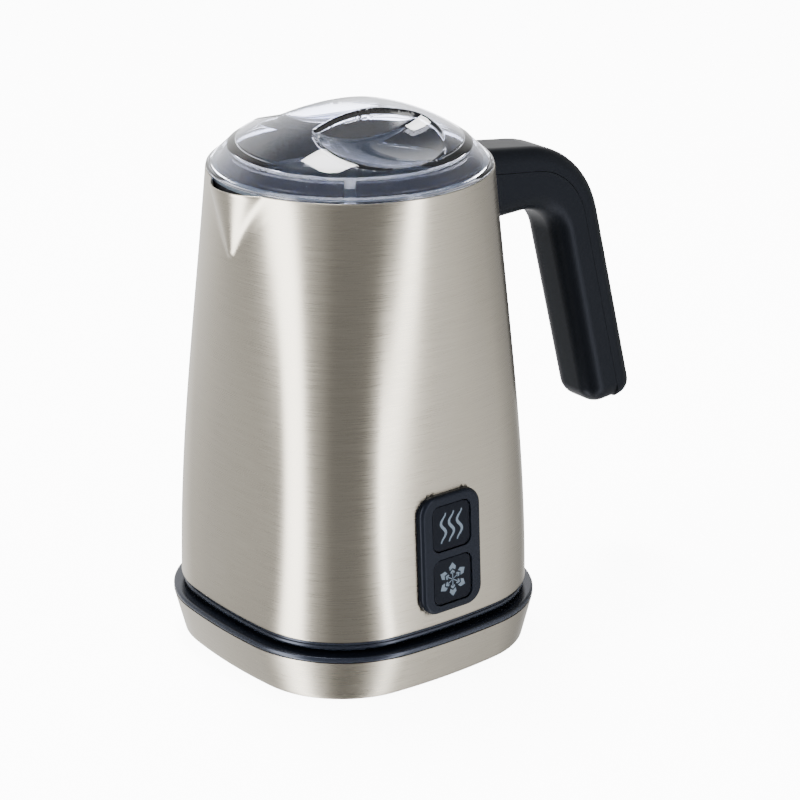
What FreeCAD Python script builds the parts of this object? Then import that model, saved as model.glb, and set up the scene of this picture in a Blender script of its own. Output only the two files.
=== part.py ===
import FreeCAD, Part
import math
import os
from types import SimpleNamespace

import Sketcher

os.makedirs("parts", exist_ok=True)

# A cordless electric milk frother: a jug with a steel shell, a side handle, a clear lid and a
# magnetically driven whisk, standing on a low power base.
# Millimetres. +Z is up, +X points to the handle, -X to the spout, and -Y is the control panel's side.
# The origin is on the jug's own axis, at the level of the surface that the base stands on.

Vector = FreeCAD.Vector
X_AXIS = Vector(1, 0, 0)
Z_AXIS = Vector(0, 0, 1)

DIMENSIONS = {
    # heights of the main levels
    "pan_bottom": 1.5,
    "band_top": 17.1,
    "rim_top": 19.1,
    "foot_bottom": 20.1,
    "shell_bottom": 23.3,
    "shell_middle": 99.05,
    "shell_top": 174.8,
    # bowed-square outlines: half width, corner radius and the radius of each bowed side
    "band_low_half": 54.6,
    "band_low_corner": 34.9,
    "band_low_bow": 206.0,
    "band_top_half": 59.0,
    "band_top_corner": 41.8,
    "band_top_bow": 222.6,
    "shell_low_half": 55.6,
    "shell_low_corner": 36.7,
    "shell_low_bow": 210.0,
    "shell_mid_half": 52.06,
    "shell_mid_corner": 32.4,
    "shell_mid_bow": 116.0,
    "shell_mouth": 49.4,
    "sheet_metal": 0.8,
    # base
    "pan_gap": 0.2,
    "pan_wall": 1.6,
    "pan_floor": 2.0,
    "foot_inner": 40.5,
    "foot_outer": 48.0,
    "foot_seat": 1.5,
    "base_boss_place": 26.0,
    "base_boss": 4.0,
    "screw_shank": 1.5,
    "screw_hole": 1.6,
    "screw_head": 2.8,
    "screw_head_high": 1.8,
    "post_radius": 15.0,
    "post_top": 30.0,
    "post_flange": 20.0,
    "gland_high": 9.8,
    "gland_bore": 3.3,
    "gland_neck": 5.0,
    "gland_collar": 5.6,
    "clamp_place": 40.0,
    "clamp_half": 9.0,
    # socket under the jug
    "socket_inner": 15.9,
    "socket_outer": 18.0,
    "socket_flange": 24.0,
    "flange_low": 26.0,
    "cover_low": 28.0,
    "cover_thick": 2.0,
    "socket_ceiling": 31.6,
    "socket_top": 34.0,
    # bowl, heater and whisk
    "bowl_mouth": 42.0,
    "bowl_low": 39.0,
    "bowl_wall": 1.5,
    "bowl_floor": 84.0,
    "bowl_round": 8.0,
    "bowl_flange": 48.4,
    "bowl_flange_top": 174.6,
    "bowl_flange_thick": 1.2,
    "spindle_radius": 2.5,
    "running_gap": 0.05,
    "bush_radius": 4.0,
    "whisk_boss": 7,
    "coil_ring": 14.5,
    "coil_wire": 1.6,
    "heater_ring": 32.5,
    "heater_tube": 2.5,
    # motor and its bracket
    "shaft_radius": 1.5,
    "motor_radius": 14.0,
    "motor_low": 36.0,
    "bracket_low": 64.0,
    "bracket_thick": 2.0,
    "bracket_radius": 34.0,
    "leg_place": 21.0,
    "leg_radius": 3.2,
    "stud_place": 15.9,
    "stud_radius": 2.5,
    "carrier_radius": 17.0,
    "carrier_low": 72.0,
    "carrier_top": 80.0,
    "magnet_radius": 3.5,
    "magnet_place": 11.0,
    "magnet_high": 4.0,
    # lid
    "lid_bottom": 174.9,
    "lid_radius": 49.3,
    "lid_wall_top": 176.0,
    "dome_radius": 41.7,
    "dome_bottom": 182.6,
    "dome_top": 196.0,
    "dome_sphere": 71.6,
    "lid_thick": 2.0,
    "skirt_inner": 38.4,
    "skirt_outer": 40.2,
    "skirt_bottom": 167.0,
    "scoop_sphere": 21.0,
    "scoop_x": 9.0,
    "scoop_y": 19.0,
    "scoop_z": 206.5,
    # spout: an oblique half cone pressed out of the shell
    "spout_tip_x": -49.5,
    "spout_tip_z": 151.0,
    "spout_tip_radius": 0.9,
    "spout_mouth_x": -35.3,
    "spout_mouth_radius": 18.9,
    # control panel, in the panel's own tilted frame
    "panel_high": 49.5,
    "panel_reach": 54.3,
    "panel_tilt": -2.81,
    "panel_half_wide": 13.0,
    "panel_half_tall": 21.5,
    "panel_corner": 6.6,
    "panel_proud": 2.4,
    "panel_front": 2.4,
    "panel_depth": 7.8,
    "panel_side": 1.8,
    "panel_edge": 1.3,
    "button_half": 8.2,
    "button_corner": 3.0,
    "button_gap": 0.3,
    "button_proud": 2.1,
    "button_flange": 1.1,
    "heat_place": 9.5,
    "cold_place": -10.1,
    # handle, outlines in the plane Y = 0
    "handle_half": 11.0,
    "handle_root": 44.0,
    "handle_round": 26.6,
    "cover_strip": 8.9,
    "grip_strip": 11.8,
    "seam_gap": 0.15,
    "grip_edge": 5.6,
    "strip_edge": 5.2,
}


class Size:
    """A driving dimension, or a sum of some: its number, and the expression that binds it."""

    def __init__(self, value, text):
        self.value = value
        self.text = text

    def __add__(self, other):
        other = as_size(other)
        return Size(self.value + other.value, f"({self.text} + {other.text})")

    def __sub__(self, other):
        other = as_size(other)
        return Size(self.value - other.value, f"({self.text} - {other.text})")

    def __mul__(self, other):
        other = as_size(other)
        return Size(self.value * other.value, f"({self.text} * {other.text})")

    def __truediv__(self, other):
        other = as_size(other)
        return Size(self.value / other.value, f"({self.text} / {other.text})")

    def __neg__(self):
        return self * -1


def as_size(number):
    """Turn a plain number into a Size, and leave a Size as it is."""
    if isinstance(number, Size):
        return number
    return Size(float(number), f"({float(number)})")


doc = FreeCAD.newDocument("milk_frother")
sheet = doc.addObject("Spreadsheet::Sheet", "sizes")
for row, (alias, number) in enumerate(DIMENSIONS.items(), start=1):
    sheet.set(f"A{row}", alias)
    sheet.set(f"B{row}", str(number))
    sheet.setAlias(f"B{row}", alias)
doc.recompute()
d = SimpleNamespace(**{alias: Size(number, f"sizes.{alias}") for alias, number in DIMENSIONS.items()})

sub_parts = []


# ---------------------------------------------------------------- sketches

def new_body(label, whole=True):
    """Start a body of sketched features: a whole sub-part, or only a step towards one."""
    body = doc.addObject("PartDesign::Body", label)
    body.Label = label
    if whole:
        sub_parts.append(body)
    return body


def new_sketch(body, role, offset=0):
    """Add a sketch on one of the body's origin planes, moved along that plane's normal."""
    plane = next(f for f in body.Origin.OriginFeatures if f.Role == role)
    sketch = body.newObject("Sketcher::SketchObject", f"{body.Label}_sketch")
    sketch.AttachmentSupport = (plane, [""])
    sketch.MapMode = "FlatFace"
    offset = as_size(offset)
    sketch.AttachmentOffset = FreeCAD.Placement(Vector(0, 0, offset.value), FreeCAD.Rotation())
    sketch.setExpression("AttachmentOffset.Base.z", offset.text)
    return sketch


def dimension(sketch, kind, references, value):
    """Add a dimensional constraint and bind it to the sheet."""
    index = sketch.addConstraint(Sketcher.Constraint(kind, *references, value.value))
    sketch.setExpression(f"Constraints[{index}]", value.text)


def pin_point(sketch, element, point, x, y):
    """Hold one point of an element at (x, y) in the sketch; a zero holds it on that axis."""
    for kind, axis, value in (("DistanceX", -2, as_size(x)), ("DistanceY", -1, as_size(y))):
        if value.value == 0:
            sketch.addConstraint(Sketcher.Constraint("PointOnObject", element, point, axis))
        else:
            dimension(sketch, kind, (-1, 1, element, point), value)


def draw_circle(sketch, x, y, radius):
    """Draw a circle round (x, y)."""
    x, y, radius = as_size(x), as_size(y), as_size(radius)
    circle = Part.Circle(Vector(x.value, y.value, 0), Z_AXIS, radius.value)
    element = sketch.addGeometry(circle, False)
    pin_point(sketch, element, 3, x, y)
    dimension(sketch, "Radius", (element,), radius)


def draw_loop(sketch, corners):
    """Draw a closed outline through corners (x, y) or, with a rounded corner, (x, y, radius)."""
    corners = [tuple(as_size(number) for number in corner) for corner in corners]
    points = [Vector(corner[0].value, corner[1].value, 0) for corner in corners]
    count = len(corners)
    starts, ends, arcs = list(points), list(points), {}
    for i, corner in enumerate(corners):
        if len(corner) == 2:
            continue
        before = (points[i - 1] - points[i]).normalize()
        after = (points[(i + 1) % count] - points[i]).normalize()
        half_turn = before.getAngle(after) / 2
        reach = corner[2].value / math.tan(half_turn)
        ends[i] = points[i] + before * reach
        starts[i] = points[i] + after * reach
        centre = points[i] + (before + after).normalize() * (corner[2].value / math.sin(half_turn))
        mid = centre + (points[i] - centre).normalize() * corner[2].value
        arcs[i] = Part.Arc(ends[i], mid, starts[i])
    lines = [sketch.addGeometry(Part.LineSegment(starts[i], ends[(i + 1) % count]), False) for i in range(count)]
    for i, corner in enumerate(corners):
        incoming, outgoing = lines[i - 1], lines[i]
        if i not in arcs:
            sketch.addConstraint(Sketcher.Constraint("Coincident", incoming, 2, outgoing, 1))
            pin_point(sketch, outgoing, 1, corner[0], corner[1])
            continue
        arc = sketch.addGeometry(arcs[i], False)
        starts_first = (sketch.getPoint(arc, 1) - ends[i]).Length < 1e-6
        first, last = (1, 2) if starts_first else (2, 1)
        sketch.addConstraint(Sketcher.Constraint("Tangent", incoming, 2, arc, first))
        sketch.addConstraint(Sketcher.Constraint("Tangent", arc, last, outgoing, 1))
        dimension(sketch, "Radius", (arc,), corner[2])
        tip = sketch.addGeometry(Part.Point(points[i]), True)
        pin_point(sketch, tip, 1, corner[0], corner[1])
        sketch.addConstraint(Sketcher.Constraint("PointOnObject", tip, 1, incoming))
        sketch.addConstraint(Sketcher.Constraint("PointOnObject", tip, 1, outgoing))


def draw_rounded_box(sketch, centre_x, centre_y, half_wide, half_tall, corner):
    """Draw a rectangle with rounded corners."""
    centre_x, centre_y = as_size(centre_x), as_size(centre_y)
    draw_loop(sketch, [
        (centre_x - half_wide, centre_y - half_tall, corner),
        (centre_x + half_wide, centre_y - half_tall, corner),
        (centre_x + half_wide, centre_y + half_tall, corner),
        (centre_x - half_wide, centre_y + half_tall, corner),
    ])


def draw_bowed_square(sketch, half, corner, bow):
    """Draw a square with bowed sides and tangent corner arcs, centred on the sketch's origin."""
    side_centre = (half - bow).value
    gap = bow.value - corner.value
    diagonal = (side_centre + math.sqrt(2 * gap ** 2 - side_centre ** 2)) / 2
    spread = math.atan2(diagonal, diagonal - side_centre)
    first = sketch.GeometryCount
    for quarter in range(4):
        turn = quarter * math.pi / 2
        spin = FreeCAD.Rotation(Z_AXIS, math.degrees(turn))
        side_circle = Part.Circle(spin.multVec(Vector(side_centre, 0, 0)), Z_AXIS, bow.value)
        corner_circle = Part.Circle(spin.multVec(Vector(diagonal, diagonal, 0)), Z_AXIS, corner.value)
        sketch.addGeometry(Part.ArcOfCircle(side_circle, turn - spread, turn + spread), False)
        corner_arc = Part.ArcOfCircle(corner_circle, turn + spread, turn + math.pi / 2 - spread)
        sketch.addGeometry(corner_arc, False)
    for arc in range(8):
        following = first + (arc + 1) % 8
        sketch.addConstraint(Sketcher.Constraint("Tangent", first + arc, 2, following, 1))
    for quarter in range(4):
        side = first + 2 * quarter
        kind, axis = ("DistanceX", -1) if quarter % 2 == 0 else ("DistanceY", -2)
        sketch.addConstraint(Sketcher.Constraint("PointOnObject", side, 3, axis))
        dimension(sketch, "Radius", (side,), bow)
        dimension(sketch, "Radius", (side + 1,), corner)
        ends = (side, 3, -1, 1) if quarter < 2 else (-1, 1, side, 3)
        dimension(sketch, kind, ends, bow - half)


def draw_split_circle(sketch, radius):
    """Draw a circle as eight arcs, so that it lofts to a bowed square without a twist."""
    step = math.pi / 4
    for arc in range(8):
        start = (arc - 0.5) * step
        circle = Part.Circle(Vector(), Z_AXIS, radius.value)
        sketch.addGeometry(Part.ArcOfCircle(circle, start, start + step), False)
    for arc in range(8):
        sketch.addConstraint(Sketcher.Constraint("Coincident", arc, 2, (arc + 1) % 8, 1))
        dimension(sketch, "DistanceX", (-1, 1, arc, 1), radius * math.cos((arc - 0.5) * step))
        if arc < 7:
            sketch.addConstraint(Sketcher.Constraint("Coincident", arc, 3, -1, 1))
    dimension(sketch, "Radius", (0,), radius)
    sketch.addConstraint(Sketcher.Constraint("PointOnObject", 7, 3, -1))


# ---------------------------------------------------------------- features

def pad(body, sketch, length, reverse=False, both=False):
    """Grow the sketch by a length, along its normal, against it, or half each way."""
    feature = body.newObject("PartDesign::Pad", f"{body.Label}_pad")
    feature.Profile = sketch
    feature.Reversed = reverse
    feature.Midplane = both
    feature.setExpression("Length", as_size(length).text)
    return feature


def pocket(body, sketch, length, forward=True):
    """Cut the sketch into the body, along the sketch's normal unless forward is False."""
    feature = body.newObject("PartDesign::Pocket", f"{body.Label}_pocket")
    feature.Profile = sketch
    feature.Reversed = forward
    feature.setExpression("Length", as_size(length).text)
    return feature


def loft(body, kind, sketches, ruled=False):
    """Join the sketches, lowest first, by an AdditiveLoft or a SubtractiveLoft."""
    feature = body.newObject(f"PartDesign::{kind}", f"{body.Label}_loft")
    feature.Profile = sketches[0]
    feature.Sections = [(sketch, [""]) for sketch in sketches[1:]]
    feature.Ruled = ruled
    return feature


def turn(body, corners):
    """Turn a closed outline of (radius, height) corners round the Z axis."""
    sketch = new_sketch(body, "XZ_Plane")
    draw_loop(sketch, corners)
    feature = body.newObject("PartDesign::Revolution", f"{body.Label}_turn")
    feature.Profile = sketch
    feature.ReferenceAxis = (sketch, ["V_Axis"])
    feature.Angle = 360
    return feature


def turned(label, corners, whole=True):
    """Make a body that is one turned outline."""
    body = new_body(label, whole)
    turn(body, corners)
    return body


def ring(label, inner, outer, low, high):
    """Make a plain ring, or a disc where the inner radius is 0."""
    return turned(label, [(inner, low), (outer, low), (outer, high), (inner, high)])


def circle_pattern(body, places, radius, low):
    """Sketch equal circles at (x, y) places on a level plane."""
    sketch = new_sketch(body, "XY_Plane", low)
    for x, y in places:
        draw_circle(sketch, x, y, radius)
    return sketch


def square_places(reach):
    """Four places at the corners of a square."""
    return [(reach * i, reach * j) for i in (-1, 1) for j in (-1, 1)]


def primitive(kind, label, sizes, base=(0, 0, 0), rotation=None):
    """Add a Part primitive whose sizes and place are bound to the sheet."""
    shape = doc.addObject(f"Part::{kind}", label)
    for name, value in sizes.items():
        shape.setExpression(name, as_size(value).text)
    if rotation:
        shape.Placement = FreeCAD.Placement(Vector(), rotation)
    for axis, value in zip("xyz", base):
        shape.setExpression(f"Placement.Base.{axis}", as_size(value).text)
    return shape


def cut(label, base, tool):
    """Take the tool's shape away from the base's."""
    result = doc.addObject("Part::Cut", label)
    result.Base = base
    result.Tool = tool
    return result


def join(label, shapes, kind="MultiFuse"):
    """Fuse several shapes into one, or keep them as separate solids of one group."""
    result = doc.addObject(f"Part::{kind}", label)
    if kind == "Compound":
        result.Links = shapes
    else:
        result.Shapes = shapes
    return result


def keep(shape):
    """Count a shape among the sub-parts."""
    sub_parts.append(shape)
    return shape


def screws(label, places, length, rotation=None):
    """Make a group of equal pan-head screws; each place is where a head meets its shank.

    A screw's shank points along +Z, or where the rotation takes +Z.
    """
    made = []
    away = rotation.multVec(Z_AXIS) if rotation else Z_AXIS
    for number, place in enumerate(places, start=1):
        head_base = [as_size(p) - d.screw_head_high * a for p, a in zip(place, away)]
        head_sizes = {"Radius": d.screw_head, "Height": d.screw_head_high}
        shank_sizes = {"Radius": d.screw_shank, "Height": length}
        head = primitive("Cylinder", f"{label}_head_{number}", head_sizes, head_base, rotation)
        recess_sizes = {"Circumradius": d.screw_shank, "Height": d.screw_head_high / 2}
        recess = primitive("Prism", f"{label}_recess_{number}", recess_sizes, head_base, rotation)
        shank = primitive("Cylinder", f"{label}_shank_{number}", shank_sizes, place, rotation)
        blank = join(f"{label}_blank_{number}", [head, shank])
        made.append(cut(f"{label}_{number}", blank, recess))
    return keep(join(label, made, "Compound"))


# ---------------------------------------------------------------- outlines that several pieces share

def shell_sections(body, inset, low=d.shell_bottom, high=d.shell_top):
    """Sketch the jug's outline at its foot, middle and mouth, moved inwards by the inset.

    The first and last sketches may lie a little beyond the foot and mouth, for a cutting loft.
    """
    inset = as_size(inset)
    foot = new_sketch(body, "XY_Plane", low)
    draw_bowed_square(foot, d.shell_low_half - inset, d.shell_low_corner - inset, d.shell_low_bow - inset)
    middle = new_sketch(body, "XY_Plane", d.shell_middle)
    draw_bowed_square(middle, d.shell_mid_half - inset, d.shell_mid_corner - inset, d.shell_mid_bow - inset)
    mouth = new_sketch(body, "XY_Plane", high)
    draw_split_circle(mouth, d.shell_mouth - inset)
    return [foot, middle, mouth]


def spout_sections(body, inset):
    """Sketch the spout's small tip circle and its large mouth circle."""
    tip = new_sketch(body, "XY_Plane", d.spout_tip_z)
    draw_circle(tip, d.spout_tip_x + inset, 0, d.spout_tip_radius)
    mouth = new_sketch(body, "XY_Plane", d.shell_top)
    draw_circle(mouth, d.spout_mouth_x, 0, d.spout_mouth_radius - inset)
    return [tip, mouth]


def band_sections(body, inset, low=d.pan_bottom, high=d.band_top):
    """Sketch the base's outline at two levels of its sloping side, moved inwards by the inset."""
    sketches = []
    for level in (low, high):
        share = (level - d.pan_bottom) / (d.band_top - d.pan_bottom)
        half = d.band_low_half + (d.band_top_half - d.band_low_half) * share - inset
        corner = d.band_low_corner + (d.band_top_corner - d.band_low_corner) * share - inset
        bow = d.band_low_bow + (d.band_top_bow - d.band_low_bow) * share - inset
        sketch = new_sketch(body, "XY_Plane", level)
        draw_bowed_square(sketch, half, corner, bow)
        sketches.append(sketch)
    return sketches


# ---------------------------------------------------------------- power base

def make_base():
    """The base: a steel band round a plastic pan, a black top plate and its rubber foot ring."""
    boss_places = square_places(d.base_boss_place)
    clamp_places = [(-d.clamp_half, d.clamp_place), (d.clamp_half, d.clamp_place)]
    pan_inset = d.sheet_metal + d.pan_gap
    floor_top = d.pan_bottom + d.pan_floor
    boss_top = d.band_top - 4
    clamp_low = d.band_top - 4.5

    ring("foot_ring", d.foot_inner, d.foot_outer, 0, d.pan_bottom + d.foot_seat)

    band = new_body("base_band")
    loft(band, "AdditiveLoft", band_sections(band, 0))
    loft(band, "SubtractiveLoft", band_sections(band, d.sheet_metal))
    hole = new_sketch(band, "XZ_Plane", -d.band_top_half)
    draw_circle(hole, 0, d.gland_high, d.gland_neck + 0.1)
    pocket(band, hole, 12)

    pan = new_body("base_pan")
    loft(pan, "AdditiveLoft", band_sections(pan, pan_inset))
    loft(pan, "SubtractiveLoft", band_sections(pan, pan_inset + d.pan_wall, low=floor_top))
    pad(pan, circle_pattern(pan, boss_places, d.base_boss, floor_top - 0.5), boss_top - floor_top + 0.5)
    pad(pan, circle_pattern(pan, clamp_places, 3, floor_top - 0.5), clamp_low - floor_top + 0.5)
    foot_groove = new_sketch(pan, "XY_Plane", d.pan_bottom)
    draw_circle(foot_groove, 0, 0, d.foot_outer + 0.1)
    draw_circle(foot_groove, 0, 0, d.foot_inner - 0.1)
    pocket(pan, foot_groove, d.foot_seat)
    pocket(pan, circle_pattern(pan, boss_places, d.screw_hole, d.pan_bottom), 12)
    pocket(pan, circle_pattern(pan, boss_places, d.screw_head + 0.3, d.pan_bottom), d.screw_head_high + 0.4)
    pocket(pan, circle_pattern(pan, clamp_places, d.screw_hole, floor_top + 2), 12)
    hole = new_sketch(pan, "XZ_Plane", -d.band_top_half)
    draw_circle(hole, 0, d.gland_high, d.gland_neck + 0.1)
    pocket(pan, hole, 12)

    top = new_body("base_top")
    plate = new_sketch(top, "XY_Plane", d.band_top)
    draw_bowed_square(plate, d.band_top_half, d.band_top_corner, d.band_top_bow)
    draw_circle(plate, 0, 0, d.post_radius + 0.2)
    rim = pad(top, plate, d.rim_top - d.band_top)
    doc.recompute()
    rounding = top.newObject("PartDesign::Fillet", "base_top_rounding")
    rounding.Base = (rim, level_edges(rim, d.rim_top.value, beyond=d.post_radius.value + 1))
    rounding.Radius = 0.7
    skirt = new_sketch(top, "XY_Plane", d.band_top)
    skirt_inset = d.sheet_metal + d.pan_gap + d.pan_wall + 1.7
    for extra in (0, 1.6):
        inset = skirt_inset + extra
        draw_bowed_square(skirt, d.band_top_half - inset, d.band_top_corner - inset, d.band_top_bow - inset)
    pad(top, skirt, 1.5, reverse=True)
    posts = circle_pattern(top, boss_places, d.base_boss, d.band_top)
    pad(top, posts, d.band_top - boss_top - 0.1, reverse=True)
    pocket(top, circle_pattern(top, boss_places, d.screw_hole, boss_top - 1), 4)

    screw_seat = d.pan_bottom + d.screw_head_high + 0.4
    screws("base_screws", [(x, y, screw_seat) for x, y in boss_places], 12)


def make_coupler():
    """The round power coupling's lower half, which stands up through the base's top plate."""
    slot_inner, slot_outer = 7.0, 9.4
    slot_low = d.band_top + 1
    strip_low, strip_high = d.post_top - 6, d.post_top - 2
    turned("coupler_post", [
        (2.6, d.band_top - 2), (d.post_flange, d.band_top - 2), (d.post_flange, d.band_top),
        (d.post_radius, d.band_top), (d.post_radius, strip_low), (d.post_radius - 0.8, strip_low),
        (d.post_radius - 0.8, strip_high), (d.post_radius, strip_high), (d.post_radius, d.post_top),
        (slot_outer, d.post_top), (slot_outer, slot_low), (slot_inner, slot_low),
        (slot_inner, d.post_top), (2.6, d.post_top),
    ])
    ring("live_contact", 1.9, 2.55, d.band_top - 1, d.post_top - 1)
    ring("neutral_contact", 8.7, 9.35, slot_low, d.post_top - 2)
    ring("earth_contact", d.post_radius - 0.75, d.post_radius, strip_low, strip_high)


def make_cord_entry():
    """The gland that the mains cord comes in through, and the bar that clamps the cord inside."""
    inner_end, outer_end = 47.5, 60.0
    collar_inside, collar_outside = 51.5, 58.8
    gland = new_body("cord_gland")
    sketch = new_sketch(gland, "YZ_Plane")
    bore, neck, collar = (d.gland_high + r for r in (d.gland_bore, d.gland_neck, d.gland_collar))
    draw_loop(sketch, [
        (inner_end, bore), (outer_end, bore), (outer_end, collar), (collar_outside, collar),
        (collar_outside, neck), (collar_inside, neck), (collar_inside, collar), (inner_end, collar),
    ])
    line = sketch.addGeometry(Part.LineSegment(Vector(0, d.gland_high.value, 0),
                                               Vector(10, d.gland_high.value, 0)), True)
    pin_point(sketch, line, 1, 0, d.gland_high)
    pin_point(sketch, line, 2, 10, d.gland_high)
    feature = gland.newObject("PartDesign::Revolution", "cord_gland_turn")
    feature.Profile = sketch
    feature.ReferenceAxis = (sketch, ["Axis0"])
    feature.Angle = 360

    low = d.band_top - 4.5
    bar = new_body("cord_clamp")
    outline = new_sketch(bar, "XY_Plane", low)
    draw_rounded_box(outline, 0, d.clamp_place, d.clamp_half + 3, 3, 1)
    for side in (-1, 1):
        draw_circle(outline, d.clamp_half * side, d.clamp_place, d.screw_hole)
    pad(bar, outline, 2.2)
    downward = FreeCAD.Rotation(X_AXIS, 180)
    places = [(d.clamp_half * side, d.clamp_place, low + 2.2) for side in (-1, 1)]
    screws("clamp_screws", places, 8, downward)


def make_socket():
    """The power coupling's upper half, which drops over the post and carries the jug."""
    turned("coupler_socket", [
        (1.55, d.socket_ceiling), (d.socket_inner, d.socket_ceiling), (d.socket_inner, d.rim_top),
        (d.socket_outer, d.rim_top), (d.socket_outer, d.flange_low), (d.socket_flange, d.flange_low),
        (d.socket_flange, d.cover_low), (d.socket_outer, d.cover_low), (d.socket_outer, d.socket_top),
        (1.55, d.socket_top),
    ])
    ring("socket_pin", 0, 1.5, d.rim_top - 1, d.socket_top + 0.3)
    ring("socket_ring", 7.5, 8.3, d.rim_top + 0.5, d.socket_ceiling)
    ring("socket_earth", d.socket_inner - 0.5, d.socket_inner - 0.05, d.post_top - 6, d.post_top - 3)


# ---------------------------------------------------------------- jug

def make_shell():
    """The jug's steel shell, with its pressed spout and the openings for the panel and handle."""
    shell = new_body("outer_shell")
    loft(shell, "AdditiveLoft", shell_sections(shell, 0))
    loft(shell, "AdditiveLoft", spout_sections(shell, as_size(0)), ruled=True)
    loft(shell, "SubtractiveLoft", shell_sections(shell, d.sheet_metal))
    loft(shell, "SubtractiveLoft", spout_sections(shell, d.sheet_metal), ruled=True)
    window = new_sketch(shell, "XZ_Plane", d.shell_low_half + 1)
    draw_rounded_box(window, 0, d.panel_high, d.panel_half_wide + 0.1, d.panel_half_tall + 0.15,
                     d.panel_corner + 0.1)
    pocket(shell, window, 12, forward=False)
    holes = new_sketch(shell, "YZ_Plane", 40)
    for high in handle_screw_heights():
        draw_circle(holes, 0, high, d.screw_hole + 0.2)
    pocket(shell, holes, 15)


def make_underside():
    """The black ring under the shell's edge, and the plate that closes the jug from below."""
    inset = 0.7
    trim = new_body("foot_trim")
    low = new_sketch(trim, "XY_Plane", d.foot_bottom)
    draw_bowed_square(low, d.shell_low_half - inset, d.shell_low_corner - inset, d.shell_low_bow - inset)
    draw_circle(low, 0, 0, 45)
    foot = pad(trim, low, d.shell_bottom - d.foot_bottom)
    doc.recompute()
    rounding = trim.newObject("PartDesign::Fillet", "foot_trim_rounding")
    rounding.Base = (foot, level_edges(foot, d.foot_bottom.value, beyond=46))
    rounding.Radius = 0.8
    spigot = new_sketch(trim, "XY_Plane", d.shell_bottom)
    inset = d.sheet_metal + 0.6
    draw_bowed_square(spigot, d.shell_low_half - inset, d.shell_low_corner - inset, d.shell_low_bow - inset)
    draw_circle(spigot, 0, 0, 47)
    pad(trim, spigot, d.cover_low - d.shell_bottom)
    cut_panel_notch(trim, d.cover_low - 1.9)

    plate = new_body("lower_cover")
    outline = new_sketch(plate, "XY_Plane", d.cover_low)
    draw_bowed_square(outline, d.shell_low_half - inset, d.shell_low_corner - inset, d.shell_low_bow - inset)
    draw_circle(outline, 0, 0, d.socket_outer + 0.4)
    for x, y in square_places(d.leg_place):
        draw_circle(outline, x, y, d.screw_hole)
    pad(plate, outline, d.cover_thick)
    cut_panel_notch(plate, d.cover_low)
    screws("cover_screws", [(x, y, d.cover_low) for x, y in square_places(d.leg_place)], 12)


def cut_panel_notch(body, low):
    """Cut room for the control panel's lower end, from a level upwards."""
    notch = new_sketch(body, "XY_Plane", low)
    draw_rounded_box(notch, 0, -52, d.panel_half_wide + 0.4, 7, 1)
    pocket(body, notch, 5)


def make_bowl():
    """The coated bowl that holds the milk, the collar that seats it and the whisk's spindle."""
    low = d.bowl_floor - d.bowl_wall
    flange_low = d.bowl_flange_top - d.bowl_flange_thick
    turned("inner_bowl", [
        (0, low), (d.bowl_low + d.bowl_wall, low, d.bowl_round + d.bowl_wall),
        (d.bowl_mouth + d.bowl_wall, flange_low), (d.bowl_flange, flange_low),
        (d.bowl_flange, d.bowl_flange_top), (d.bowl_mouth, d.bowl_flange_top),
        (d.bowl_low, d.bowl_floor, d.bowl_round), (0, d.bowl_floor),
    ])
    ring("bowl_collar", d.bowl_mouth + d.bowl_wall + 0.2, d.bowl_flange, flange_low - 6, flange_low)
    turned("spindle", [
        (0, d.bowl_floor), (6, d.bowl_floor), (6, d.bowl_floor + 0.8), (d.spindle_radius, d.bowl_floor + 0.8),
        (d.spindle_radius, d.bowl_floor + 15, 1), (0, d.bowl_floor + 15),
    ])


def make_heater():
    """The ring heater under the bowl, its spreading plate and the temperature sensor."""
    bowl_low = d.bowl_floor - d.bowl_wall
    plate_low = bowl_low - 2
    ring("heater_plate", 27, d.bowl_low - d.bowl_round + 6, plate_low, bowl_low)
    element_sizes = {"Radius1": d.heater_ring, "Radius2": d.heater_tube, "Angle3": 330}
    keep(primitive("Torus", "heating_element", element_sizes, (0, 0, plate_low - d.heater_tube - 0.05)))
    sensor_sizes = {"Radius": 2.2, "Height": 6}
    keep(primitive("Cylinder", "temperature_sensor", sensor_sizes, (22.5, 0, bowl_low - 6)))


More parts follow.
